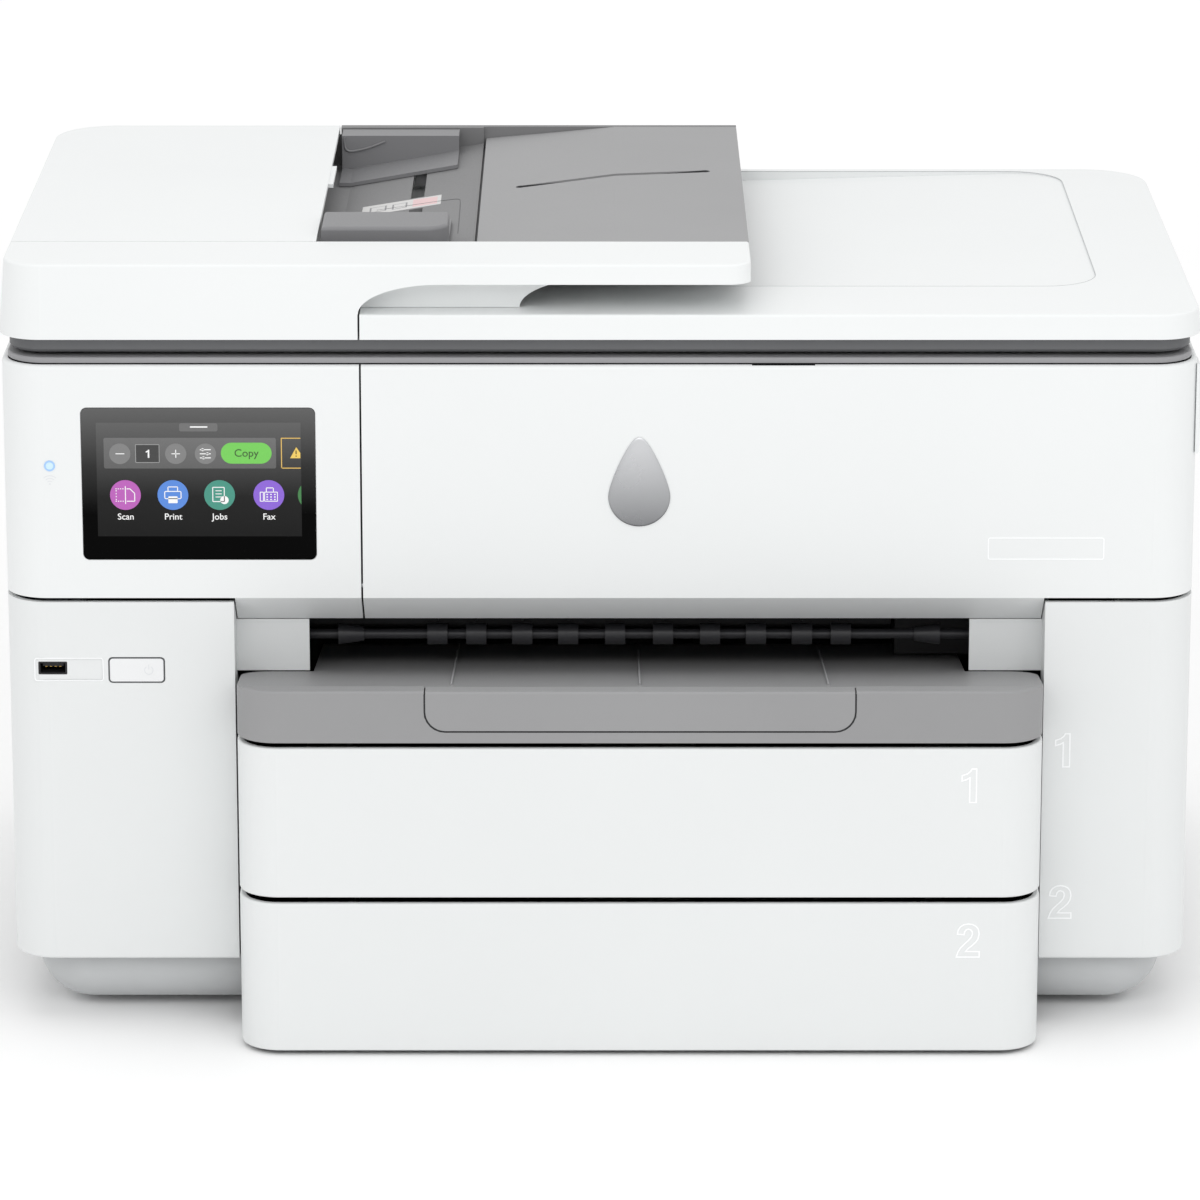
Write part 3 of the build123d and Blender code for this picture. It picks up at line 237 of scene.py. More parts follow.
BRUSHED = {      # slot: colour, roughness, stretch of its lines
    "emblem_silver": (srgb(186, 187, 190), 0.32, (50, 50, 1)),
    "steel": (srgb(178, 179, 182), 0.25),
    "zinc_plate": (srgb(150, 152, 156), 0.42, (1, 25, 1)),
    "motor_steel": (srgb(140, 140, 144), 0.4),
}
RUBBER = {       # slot: colour, roughness
    "feet_rubber": (srgb(40, 40, 42),),
    "belt_rubber": (srgb(26, 26, 28),),
    "roller_rubber": (srgb(56, 56, 58), 0.7),
}
MAT = {name: moulded(name, *look) for name, look in MOULDED.items()}
MAT |= {name: brushed(name, *look) for name, look in BRUSHED.items()}
MAT |= {name: rubbery(name, *look) for name, look in RUBBER.items()}
MAT["light_pipe"] = glowing("light_pipe", srgb(205, 232, 250), 0.5)
MAT["scan_glass"] = clear_glass()


def repaint(node_name, material):
    """Gives a CAD node one material."""
    materials = NODES[node_name].data.materials
    materials.clear()
    materials.append(material)


for spec in frame["record"]["subparts"]:
    if spec["material_slot"] in MAT:
        repaint(spec["node"], MAT[spec["material_slot"]])

# Painted shade: the side covers and tray covers get a darker copy of the white shell, for the shade on the
# lower front.
SHADED_LOWER_WHITE = moulded("white_lower_painted_shade", srgb(226, 228, 228), 0.42, 1500.0, 0.10, 0.006)
for name in ("left_side_cover", "right_side_cover", "tray_1_cover", "tray_2_cover"):
    repaint(name, SHADED_LOWER_WHITE)


# ---------------------------------------------------------------- outlines
def rounded_outline(x0, x1, z0, z1, r, steps=6):
    """Points of a rounded rectangle in (x, z), counterclockwise."""
    r = min(r, (x1 - x0) / 2, (z1 - z0) / 2)
    corners = ((x1 - r, z0 + r, -90), (x1 - r, z1 - r, 0), (x0 + r, z1 - r, 90), (x0 + r, z0 + r, 180))
    points = []
    for cx, cz, start in corners:
        for i in range(steps + 1):
            a = math.radians(start + 90 * i / steps)
            points.append((cx + r * math.cos(a), cz + r * math.sin(a)))
    return points


def circle_outline(cx, cz, r, steps=40):
    angles = [2 * math.pi * i / steps for i in range(steps)]
    return [(cx + r * math.cos(a), cz + r * math.sin(a)) for a in angles]


def ring(cx, cz, r, width):
    """A ring, as an outline with a hole."""
    return {"outline": circle_outline(cx, cz, r), "holes": [circle_outline(cx, cz, r - width)[::-1]]}


def frame_outline(x0, x1, z0, z1, r, width):
    """A rounded frame, as an outline with a hole."""
    inner = rounded_outline(x0 + width, x1 - width, z0 + width, z1 - width, max(r - width, 0.05))
    return {"outline": rounded_outline(x0, x1, z0, z1, r), "holes": [inner[::-1]]}


def bar(points, width):
    """Outlines of straight strokes of one width along (x, z) points."""
    out = []
    for (ax, az), (bx, bz) in zip(points, points[1:]):
        length = math.hypot(bx - ax, bz - az)
        nx, nz = -(bz - az) / length * width / 2, (bx - ax) / length * width / 2
        out.append([(ax + nx, az + nz), (ax - nx, az - nz), (bx - nx, bz - nz), (bx + nx, bz + nz)])
    return out


def arc_band(cx, cz, r, width, start, stop, steps=24):
    """A curved stroke from one angle to another, in degrees."""
    angles = [math.radians(start + (stop - start) * i / steps) for i in range(steps + 1)]
    outer = [(cx + (r + width / 2) * math.cos(a), cz + (r + width / 2) * math.sin(a)) for a in angles]
    inner = [(cx + (r - width / 2) * math.cos(a), cz + (r - width / 2) * math.sin(a)) for a in angles]
    return outer + inner[::-1]


def offset_loop(points, d):
    """A closed outline moved out by d at every edge, with mitred corners."""
    out = []
    for before, here, after in zip(points[-1:] + points[:-1], points, points[1:] + points[:1]):
        a = Vector((here[0] - before[0], here[1] - before[1])).normalized()
        b = Vector((after[0] - here[0], after[1] - here[1])).normalized()
        mid = Vector((a.y + b.y, -a.x - b.x)).normalized()
        reach = d / max(0.4, mid.dot(Vector((a.y, -a.x))))
        out.append((here[0] + mid.x * reach, here[1] + mid.y * reach))
    return out


DIGIT_HEIGHT = 17.5
DIGITS = {       # outlines of the tray numbers in mm, counterclockwise
    "1": [(4.3, 0), (7.6, 0), (7.6, 17.5), (5.3, 17.5), (4.6, 16.2), (3.0, 14.9), (0.4, 14.0), (0.4, 11.2),
          (2.8, 12.0), (4.3, 12.9)],
    "2": [(0.3, 0), (11.8, 0), (11.8, 2.9), (4.9, 2.9), (6.2, 4.5), (8.2, 6.1), (9.9, 7.8), (11.1, 9.7),
          (11.6, 12.3), (11.1, 14.8), (9.9, 16.3), (8.2, 17.2), (6.1, 17.5), (3.9, 17.1), (2.2, 16.0),
          (1.1, 14.3), (0.7, 12.1), (4.0, 11.8), (4.4, 13.5), (5.2, 14.5), (6.2, 14.8), (7.4, 14.4),
          (8.1, 13.4), (8.2, 12.1), (7.7, 10.5), (6.4, 8.9), (4.4, 7.0), (2.4, 4.9), (1.1, 2.6)],
}


# ---------------------------------------------------------------- pieces
def link(obj, body, material, replaces=()):
    """Puts a finished object in the scene, gives it its material, and makes it ride on a body."""
    bpy.context.scene.collection.objects.link(obj)
    obj.data.materials.clear()
    obj.data.materials.append(material)
    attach(obj, body)
    if replaces:
        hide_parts(*replaces)
    return obj


def mesh_object(name, bm):
    """A new object from a bmesh, which it frees."""
    mesh = bpy.data.meshes.new(name)
    bmesh.ops.recalc_face_normals(bm, faces=bm.faces)
    bm.to_mesh(mesh)
    bm.free()
    return bpy.data.objects.new(name, mesh)


def thicken(bm, faces, shift):
    """Makes a solid of flat faces, with the far side moved by shift, in metres."""
    grown = bmesh.ops.extrude_face_region(bm, geom=faces)
    moved = [v for v in grown["geom"] if isinstance(v, bmesh.types.BMVert)]
    bmesh.ops.translate(bm, verts=moved, vec=shift)


def join_rows(bm, rows, smooth=False):
    """Faces between each row of points and the next; a row closes on itself."""
    for a, b in rows:
        for i in range(len(a)):
            j = (i + 1) % len(a)
            bm.faces.new((a[i], a[j], b[j], b[i])).smooth = smooth


def facing(bm, outline, y, depth, holes=()):
    """Adds a flat piece that faces the front: an (x, z) outline in mm from y back to y + depth."""
    new = bmesh.new()
    edges = []
    for loop in (outline, *holes):
        verts = [new.verts.new((x * MM, y * MM, z * MM)) for x, z in loop]
        edges += [new.edges.new(pair) for pair in zip(verts, verts[1:] + verts[:1])]
    bmesh.ops.triangle_fill(new, use_beauty=True, use_dissolve=False, edges=edges)
    thicken(new, list(new.faces), (0, depth * MM, 0))
    bmesh.ops.recalc_face_normals(new, faces=new.faces)
    mesh = bpy.data.meshes.new("part_of_piece")
    new.to_mesh(mesh)
    new.free()
    bm.from_mesh(mesh)
    bpy.data.meshes.remove(mesh)


def front_piece(name, outlines, y, depth, material, body="body"):
    """One object made of several flat outlines at the same depth."""
    bm = bmesh.new()
    for item in outlines:
        if isinstance(item, dict):
            facing(bm, item["outline"], y, depth, item["holes"])
        else:
            facing(bm, item, y, depth)
    return link(mesh_object(name, bm), body, material)


def tube(name, points, r, material, body):
    """A round rib through smooth points in mm."""
    curve = bpy.data.curves.new(name, "CURVE")
    curve.dimensions = "3D"
    curve.bevel_depth = r * MM
    curve.bevel_resolution = 4
    curve.use_fill_caps = True
    spline = curve.splines.new("NURBS")
    spline.points.add(len(points) - 1)
    for point, place in zip(spline.points, points):
        point.co = (*(Vector(place) * MM), 1.0)
    spline.order_u = 3
    spline.use_endpoint_u = True
    return link(bpy.data.objects.new(name, curve), body, material)


# ---------------------------------------------------------------- touchscreen
GLASS_LOW, GLASS_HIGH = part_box("touchscreen_glass")
LIT = (GLASS_LOW.x / MM + 7.4, GLASS_HIGH.x / MM - 7.1,
       GLASS_LOW.z / MM + 12.0, GLASS_HIGH.z / MM - 7.4)      # x0, x1, z0, z1 of the lit area

# How far each level of the display stands in front of the glass, in mm, and how thick a level is.
LEVELS = {"panel": 0.04, "tab": 0.07, "bar": 0.08, "key": 0.12, "frame": 0.13, "ink": 0.17}
LEVEL_DEPTH = 0.03
LETTER_DEPTH = 0.02
CAPITAL = 0.7           # height of a capital as a share of the font's size
STROKE = 0.45           # usual width of a stroke

TOOLBAR = (-247.3, -161.4, 292.6, 308.4)    # x0, x1, z0, z1 of the toolbar
BAR_Z = 300.2                               # height of the middle of its keys
MINUS_X, PLUS_X, SETTINGS_X = -239.3, -211.4, -196.6
SIGN = 2.1                                  # half the length of a plus stroke
APP_Z, APP_R = 278.9, 7.7                   # the row of round app icons
WORD_DROP = 11.3                            # from an app's centre down to the middle of its word


def on_screen(level):
    """The y in mm of one of the display's levels."""
    return GLASS_LOW.y / MM - LEVELS[level]


def screen_piece(name, outlines, level, material, depth=LEVEL_DEPTH):
    front_piece(name, outlines, on_screen(level), depth, material)


def lettering(name, text, size, x, z, level, material, bold):
    """A generic word on the display: size is the height of a capital, in mm, and x, z its centre."""
    curve = bpy.data.curves.new(name + "_curve", "FONT")
    curve.body = text
    curve.size = size * MM / CAPITAL
    curve.align_x = "CENTER"
    curve.align_y = "CENTER"
    curve.resolution_u = 4
    curve.extrude = LETTER_DEPTH * MM
    curve.offset = bold * MM
    holder = bpy.data.objects.new(name + "_curve", curve)
    bpy.context.scene.collection.objects.link(holder)
    bpy.context.view_layer.update()
    mesh = bpy.data.meshes.new_from_object(holder.evaluated_get(bpy.context.evaluated_depsgraph_get()))
    bpy.data.objects.remove(holder)
    mesh.name = name
    upright = Matrix.Rotation(math.radians(90), 4, "X")
    mesh.transform(Matrix.Translation(Vector((x, on_screen(level), z)) * MM) @ upright)
    link(bpy.data.objects.new(name, mesh), "body", material)


def display():
    """The glass with a dim painted reflection in it, and the wallpaper of its lit area."""
    # Painted reflection: the glass's colour runs from black at the bottom to grey at the top, and glows a
    # little.
    reflection = [(0.0, srgb(1, 1, 1)), (0.3, srgb(2, 2, 2)), (0.36, srgb(14, 14, 14)),
                  (0.62, srgb(50, 50, 50)), (1.0, srgb(96, 96, 96))]
    glass = gradient_z("screen_painted_reflection", reflection, GLASS_LOW.z, GLASS_HIGH.z, rough=0.1, emission=0.9,
                       shine=0.04)
    repaint("touchscreen_glass", glass)
    wallpaper = [(0.0, srgb(25, 25, 25)), (0.35, srgb(34, 34, 34)), (0.6, srgb(64, 64, 64)),
                 (1.0, srgb(96, 96, 96))]
    panel = gradient_z("screen_wallpaper", wallpaper, LIT[2] * MM, LIT[3] * MM, rough=0.2, emission=0.9,
                       shine=0.1)
    screen_piece("display_panel", [rounded_outline(*LIT, 0.3)], "panel", panel)


def toolbar(white):
    """The keys for the number of copies, the settings and the start of a copy, and the pull tab above."""
    greys = [(0.0, srgb(98, 98, 98)), (1.0, srgb(112, 112, 112))]
    plate = gradient_z("ui_toolbar", greys, (TOOLBAR[2] + 0.2) * MM, (TOOLBAR[3] + 0.4) * MM, rough=0.3,
                       emission=0.9, shine=0.1)
    screen_piece("ui_toolbar", [rounded_outline(*TOOLBAR, 1.0)], "bar", plate)
    screen_piece("ui_pull_tab", [rounded_outline(-209.5, -190.4, 311.7, 315.9, 1.0)], "tab",
                 glowing("ui_tab", srgb(104, 104, 104)), depth=0.02)
    discs = [circle_outline(x, BAR_Z, 5.3) for x in (MINUS_X, PLUS_X, SETTINGS_X)]
    screen_piece("ui_round_keys", discs, "key", glowing("ui_key", srgb(122, 122, 122)))
    count = (-231.3, -219.8, BAR_Z - 4.4, BAR_Z + 4.6)
    screen_piece("ui_count_box", [rounded_outline(*count, 0.4)], "key", glowing("ui_count", srgb(56, 56, 56)))
    edge = frame_outline(count[0] - 0.3, count[1] + 0.3, count[2] - 0.3, count[3] + 0.3, 0.5, 0.35)
    screen_piece("ui_count_frame", [edge], "frame", glowing("ui_frame", srgb(150, 150, 150)))

    strokes = bar([(MINUS_X - SIGN, BAR_Z), (MINUS_X + 2.3, BAR_Z)], STROKE)
    strokes += bar([(PLUS_X - SIGN, BAR_Z), (PLUS_X + SIGN, BAR_Z)], STROKE)
    strokes += bar([(PLUS_X, BAR_Z - SIGN), (PLUS_X, BAR_Z + SIGN)], STROKE)
    strokes += bar([(-204.1, 314.0), (-195.4, 314.0)], 0.7)
    for rise, knob in ((SIGN, -1.4), (0.0, 1.0), (-SIGN, -1.0)):
        strokes += bar([(SETTINGS_X - 2.8, BAR_Z + rise), (SETTINGS_X + 2.7, BAR_Z + rise)], 0.5)
        strokes.append(circle_outline(SETTINGS_X + knob, BAR_Z + rise, 0.75, 16))
    screen_piece("ui_strokes", strokes, "ink", white)
    scale = 2 * SIGN / DIGIT_HEIGHT
    digit = [(px * scale - 226.4, pz * scale + BAR_Z - SIGN) for px, pz in DIGITS["1"]]
    screen_piece("ui_count_digit", [digit], "ink", white)

    key = rounded_outline(-188.9, -163.6, BAR_Z - 5.1, BAR_Z + 5.7, 5.4, 10)
    screen_piece("ui_copy_key", [key], "key", glowing("ui_green", srgb(112, 198, 84)))
    lettering("ui_copy_word", "Copy", 3.9, -176.2, BAR_Z + 0.2, "ink",
              glowing("ui_dark_word", srgb(58, 92, 44), 0.6), 0.02)


def alert_box():
    """The amber box with its triangle, which runs off the right edge of the lit area."""
    left, right, low, high = TOOLBAR[1] + 2.7, LIT[1] - 0.2, TOOLBAR[2] + 0.2, TOOLBAR[3] - 0.2
    box = bar([(right, high), (left + 0.2, high)], STROKE)
    box += bar([(left, high + 0.2), (left, low - 0.2)], STROKE)
    box += bar([(left - 0.2, low), (right, low)], STROKE)
    screen_piece("ui_alert_frame", box, "key", glowing("ui_amber", srgb(226, 186, 96)))
    cut, tip = -149.3, -151.3
    triangle = [(tip - 3.1, BAR_Z - 2.3), (cut, BAR_Z - 2.3), (cut, BAR_Z + 0.4), (tip, BAR_Z + 3.4)]
    screen_piece("ui_alert_sign", [triangle], "key", glowing("ui_sign", srgb(232, 196, 92), 0.95))
    mark = bar([(tip - 0.1, BAR_Z + 1.7), (tip - 0.1, BAR_Z - 0.2)], 0.5)
    mark.append(circle_outline(tip - 0.1, BAR_Z - 1.2, 0.32, 12))
    screen_piece("ui_alert_mark", mark, "ink", glowing("ui_mark", srgb(60, 50, 20), 0.5))


def scan_icon(x, z):
    """A sheet that is solid on one side of a line and dashed on the other."""
    out = bar([(x, z - 4.6), (x, z + 4.6)], STROKE)
    out += bar([(x + 0.6, z - 3.2), (x + 4.6, z - 3.2), (x + 4.6, z + 0.9), (x + 2.3, z + 3.2),
                (x + 0.6, z + 3.2)], STROKE)
    for i in range(4):
        dash, step = x - 0.9 - i * 1.15, z - 2.6 + i * 1.5
        out += bar([(dash, z - 3.2), (dash - 0.6, z - 3.2)], STROKE)
        out += bar([(dash, z + 3.2), (dash - 0.6, z + 3.2)], STROKE)
        out += bar([(x - 4.6, step), (x - 4.6, step + 0.6)], STROKE)
    return out


def print_icon(x, z):
    """A printer with a sheet above and below."""
    out = [frame_outline(x - 4.3, x + 4.3, z - 2.1, z + 2.1, 0.9, STROKE)]
    out += bar([(x - 2.4, z + 2.1), (x - 2.4, z + 4.2), (x + 2.4, z + 4.2), (x + 2.4, z + 2.1)], STROKE)
    out.append(rounded_outline(x - 2.3, x + 2.3, z - 4.2, z - 0.7, 0.3))
    return out


def jobs_icon(x, z):
    """A list with a disc at its corner."""
    out = [frame_outline(x - 3.6, x + 2.6, z - 3.6, z + 4.2, 0.5, STROKE)]
    for line_z in (z + 2.2, z + 0.6, z - 1.0):
        out += bar([(x - 2.0, line_z), (x + 1.1, line_z)], 0.4)
    out.append(circle_outline(x + 2.4, z - 2.6, 2.1, 24))
    return out


def fax_icon(x, z):
    """A handset, a keypad and a sheet."""
    out = [frame_outline(x - 4.5, x - 2.5, z - 3.4, z + 1.7, 0.4, 0.4),
           frame_outline(x - 2.3, x + 4.5, z - 3.4, z + 1.7, 0.4, 0.4)]
    out += bar([(x - 1.2, z + 1.7), (x - 1.2, z + 3.7), (x + 2.3, z + 3.7), (x + 2.3, z + 1.7)], STROKE)
    for row in range(3):
        for column in range(3):
            key_x, key_z = x - 1.2 + column * 1.9, z - 2.6 + row * 1.3
            out.append(rounded_outline(key_x, key_x + 0.8, key_z, key_z + 0.6, 0.1, 2))
    return out


APPS = (
    ("scan", "Scan", -236.9, srgb(180, 90, 178), scan_icon),
    ("print", "Print", -213.2, srgb(82, 132, 212), print_icon),
    ("jobs", "Jobs", -189.9, srgb(62, 142, 124), jobs_icon),
    ("fax", "Fax", -165.3, srgb(134, 94, 206), fax_icon),
)


def app_row(white):
    """The four round apps with their words, and the edge of a fifth at the right."""
    icons = []
    for name, word, x, colour, icon in APPS:
        disc = circle_outline(x, APP_Z, APP_R, 48)
        screen_piece(f"ui_{name}_disc", [disc], "bar", glowing(f"ui_{name}_colour", colour))
        lettering(f"ui_{name}_word", word, 3.2, x, APP_Z - WORD_DROP, "key", white, 0.03)
        icons += icon(x, APP_Z)
    edge = LIT[1] - 0.05
    cut = [point for point in circle_outline(LIT[1] + 5.9, APP_Z, APP_R, 64) if point[0] <= edge]
    screen_piece("ui_next_disc", [cut], "bar", glowing("ui_next_colour", srgb(58, 122, 66)))
    screen_piece("ui_icons", icons, "key", white)


def touchscreen():
    display()
    white = glowing("ui_white", srgb(240, 240, 240), 0.95)
    toolbar(white)
    alert_box()
    app_row(white)


# ---------------------------------------------------------------- markings on the front
NUMBERS = (      # where it is, which digit, x of its middle and z of its middle
    ("tray", "1", 183.5, 142.6), ("tray", "2", 184.2, 61.3),
    ("housing", "1", 233.6, 145.3), ("housing", "2", 233.9, 64.5),
)
NUMBER_LINE = 0.32      # half the width of a number's raised line
SHELL_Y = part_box("front_door")[0].y / MM
TRAY_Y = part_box("tray_1_cover")[0].y / MM


def markings():
    """Raised numbers, the blank plaque and the USB socket's frame."""
    # Painted highlight: the raised numbers, the plaque and the socket's frame are a brighter copy of the
    # white shell they stand on.
    line = moulded("raised_white_painted_highlight", srgb(250, 251, 252), 0.3, 1800.0, 0.05, 0.004)
    for place, digit, x, z in NUMBERS:
        y, body = (TRAY_Y, f"tray_{digit}_group") if place == "tray" else (SHELL_Y, "body")
        width = max(px for px, _ in DIGITS[digit])
        loop = [(x + px - width / 2, z + pz - DIGIT_HEIGHT / 2) for px, pz in DIGITS[digit]]
        band = {"outline": offset_loop(loop, NUMBER_LINE), "holes": [offset_loop(loop, -NUMBER_LINE)[::-1]]}
        front_piece(f"{place}_number_{digit}", [band], y - 0.15, 0.25, line, body)
    plaque = frame_outline(194.3, 252.6, 245.3, 256.8, 1.2, 0.5)
    front_piece("door_plaque", [plaque], SHELL_Y - 0.14, 0.2, line, "front_door_group")
    surround = frame_outline(-284.6, -249.8, 181.8, 194.0, 1.4, 0.45)
    front_piece("port_surround", [surround], SHELL_Y - 0.12, 0.2, line, "body")


def wireless_light(faint):
    """The blue rim of the wireless light, and three printed arcs below it."""
    low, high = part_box("status_light")
    cx, cz, y = (low.x + high.x) / 2 / MM, (low.z + high.z) / 2 / MM, low.y / MM
    front_piece("status_light_rim", [ring(cx, cz, 2.75, 0.85)], y - 0.12, 0.3,
                glowing("light_rim", srgb(160, 198, 240), 1.5), "body")
    arcs = [arc_band(cx, cz - 9.6, r, 0.42, 48, 132) for r in (1.7, 3.1, 4.5)]
    arcs.append(circle_outline(cx, cz - 9.4, 0.45, 16))
    front_piece("wireless_arcs", arcs, y + 0.12, 0.12, faint, "body")


def power_key(faint):
    """A grey ring in the gap round the power button, which is painted shade, and the button's symbol."""
    low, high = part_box("power_button")
    x0, x1, z0, z1 = low.x / MM, high.x / MM, low.z / MM, high.z / MM
    # Painted shade: a grey rubbery ring fills the gap round the button, where that gap is in shade.
    gap_margin = 0.6
    gap = frame_outline(x0 - gap_margin, x1 + gap_margin, z0 - gap_margin, z1 + gap_margin, 2.3, 0.7)
    front_piece("power_button_gap_shade", [gap], SHELL_Y - 0.04, 0.5, rubbery("gap_shade_grey", srgb(84, 86, 88)),
                "body")
    px, pz = x1 - 7.4, (z0 + z1) / 2
    power = [arc_band(px, pz, 2.1, 0.5, 122, 418, 32)] + bar([(px, pz + 0.4), (px, pz + 3.0)], 0.5)
    front_piece("power_symbol", power, low.y / MM - 0.06, 0.1, faint, "power_button_group")


def front_socket():
    """The USB socket's black tongue and its contacts, and its black board."""
    x, z = -275.4, 188.5
    black = MAT["port_black"]
    repaint("usb_board", black)
    tongue = rounded_outline(x - 5.2, x + 5.2, z + 0.2, z + 2.1, 0.3)
    front_piece("usb_tongue", [tongue], -151.6, 9.5, black, "body")
    contacts = [rounded_outline(x + dx - 0.55, x + dx + 0.55, z - 0.15, z + 0.25, 0.1)
                for dx in (-3.5, -1.2, 1.2, 3.5)]
    front_piece("usb_contacts", contacts, -151.4, 8.0, brushed("contact_gold", srgb(196, 160, 88), 0.3),
                "body")


def emblem():
    """The ink-drop badge with a low dome, in place of the plain CAD plate."""
    low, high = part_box("door_emblem")
    cx, r = (low.x + high.x) / 2, (high.x - low.x) / 2
    centre = low.z + r
    steps = 72
    outline = []
    for i in range(steps):
        a = 2 * math.pi * i / steps
        x, z = r * math.sin(a), -r * math.cos(a)
        if z > 0:
            rise = (z / r) ** 1.5
            z = z + rise * (high.z - centre - r)
            x = x * (1 - 0.36 * rise)
        outline.append((x, z))
    dome = ((1.0, 0.0), (1.0, 0.45), (0.985, 0.7), (0.95, 0.88), (0.86, 1.0), (0.68, 1.12), (0.44, 1.2),
            (0.2, 1.24))        # scale of the outline, and how far it stands out in mm
    bm = bmesh.new()
    rows = [[bm.verts.new((cx + x * scale, high.y - lift * MM, centre + z * scale)) for x, z in outline]
            for scale, lift in dome]
    join_rows(bm, zip(rows, rows[1:]), smooth=True)
    bm.faces.new(rows[-1]).smooth = True
    bm.faces.new(rows[0][::-1])
    # Painted shading: the badge's metal runs from dark grey at the bottom to pale grey at the top, where
    # light falls from above.
    greys = [(0.0, srgb(128, 129, 131)), (0.45, srgb(176, 177, 179)), (1.0, srgb(214, 215, 217))]
    metal = gradient_z("emblem_painted_shading", greys, low.z, high.z, rough=0.3)
    metal.node_tree.nodes["Principled BSDF"].inputs["Metallic"].default_value = 0.85
    link(mesh_object("emblem_drop", bm), "front_door_group", metal, ("door_emblem",))


# ---------------------------------------------------------------- output tray and lid
def extension_gap_shadow():
    """A dark strip round the output tray's pull-out tab: painted shadow in the gap between tab and tray."""
    low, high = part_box("output_extension")
    tray_low, tray_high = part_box("output_tray")
    x0, x1, z0, z1 = low.x / MM, high.x / MM, 171.0, tray_high.z / MM - 1.4

    def below_top(grow, r):
        """The tab's outline, grown, from its top right round the bottom to its top left."""
        loop = rounded_outline(x0 - grow, x1 + grow, z0 - grow, z1 + 30, r)
        kept = [(x, z) for x, z in loop if z <= z1 - 0.01]
        return [(x1 + grow, z1)] + sorted(kept, key=lambda p: -p[0]) + [(x0 - grow, z1)]

    outline = below_top(0.85, 10.6) + below_top(0.05, 10.0)[::-1]
    # Painted shadow: the dark strip fills the gap round the tab, which is in shade.
    front_piece("extension_gap_shadow", [outline], tray_low.y / MM - 0.06, 0.9,
                rubbery("gap_painted_shadow", srgb(30, 30, 32)), "body")


def deck_edge_shade():
    """A grey line round three sides of the lid's inset deck: painted shade along the deck's low step."""
    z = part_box("lid_cover")[1].z / MM - 0.05
    r, x0, x1, y0, y1 = 28.0, -110.0, 253.0, -91.0, 190.0
    path = [(x0, y0), (0.0, y0), (-x0, y0)]
    path += [(x1 - r + r * math.sin(a), y0 + r - r * math.cos(a)) for a in QUARTER]
    path += [(x1, y) for y in (-20.0, 60.0, 130.0)]
    path += [(x1 - r + r * math.cos(a), y1 - r + r * math.sin(a)) for a in QUARTER]
    path += [(-x0, y1), (0.0, y1), (x0, y1)]
    # Painted shade: a thin grey tube on the rim's edge, where the deck's step is in shade.
    tube("lid_deck_edge_shade", [(x, y, z) for x, y in path], 0.2,
         moulded("deck_edge_painted_shade", srgb(186, 188, 189), 0.5, 900.0, 0.05, 0.02), "lid_group")


def tray_lines():
    """Pale lines on the raised guide ribs of the output tray, which slopes down to the back: painted
    highlight on the ribs.
    """
    front_y, front_z, slope = -200.0, 191.94, 0.1584
    pale = moulded("tray_rib_highlight", srgb(176, 176, 178), 0.45, 1300.0, 0.1, 0.02)
    # Painted highlight: the ribs are the tray's own grey, and these paler tubes stand in for the light along
    # them.
    for number, x in enumerate((-74.0, 20.0, 114.0), 1):
        line = [(x, y, front_z - (y - front_y) * slope) for y in (-185.0, -160.0, -120.0, -60.0)]
        tube(f"output_tray_rib_highlight_{number}", line, 0.45, pale, "body")


# ---------------------------------------------------------------- sheet feeder
FLOOR_BEND_X, FLOOR_LOW_Z = -135.0, 375.0   # the feeder's floor is level up to here, and then rises
FLOOR_RISE, FLOOR_RUN = 12.4, 71.2
FLAP_X0, FLAP_X1 = -62.4, 8.0               # the input tray's plate rises between these, and is then level
FLAP_Z0, FLAP_Z1 = 389.6, 396.0


def floor_z(x):
    """Height of the feeder floor's top in mm."""
    return FLOOR_LOW_Z + max(0.0, x - FLOOR_BEND_X) * FLOOR_RISE / FLOOR_RUN


def plate_z(x):
    """Height of the input tray's top in mm."""
    if x >= FLAP_X1:
        return FLAP_Z1
    return FLAP_Z0 + (x - FLAP_X0) * (FLAP_Z1 - FLAP_Z0) / (FLAP_X1 - FLAP_X0)


def sheet_on_floor(name, corners, thickness, material):
    """A thin plate over the feeder's sloping floor, from its (x, y) corners in mm."""
    bm = bmesh.new()
    top = [bm.verts.new((x * MM, y * MM, (floor_z(x) + thickness) * MM)) for x, y in corners]
    thicken(bm, [bm.faces.new(top)], (0, 0, -(thickness + 0.05) * MM))
    link(mesh_object(name, bm), "lid_group", material)


def feeder_label():
    """The small unlettered label with its two plain icons."""
    paper = moulded("label_paper", srgb(214, 213, 212), 0.6, 900.0, 0.05, 0.02)
    pink = moulded("label_pink", srgb(226, 196, 197), 0.6, 900.0, 0.05, 0.02)
    ink = moulded("label_ink", srgb(150, 150, 152), 0.6, 900.0, 0.05, 0.02)
    sheet_on_floor("feeder_label", [(-126, 48), (-84, 46), (-84, 69), (-126, 71)], 0.07, paper)
    sheet_on_floor("feeder_label_tint", [(-99, 50), (-86, 49), (-86, 66), (-99, 68)], 0.1, pink)

    def icon_page(x0, y0, x1, y1, inset):
        x0, y0, x1, y1 = x0 + inset, y0 + inset, x1 - inset, y1 - inset
        return [(x0, y0), (x1, y0), (x1, y1), (x0, y1)]

    for number, page in enumerate(((-122, 53, -113, 65), (-110, 52, -102, 64)), 1):
        sheet_on_floor(f"feeder_icon_{number}", icon_page(*page, 0), 0.1, ink)
        sheet_on_floor(f"feeder_icon_{number}_page", icon_page(*page, 0.9), 0.13, paper)


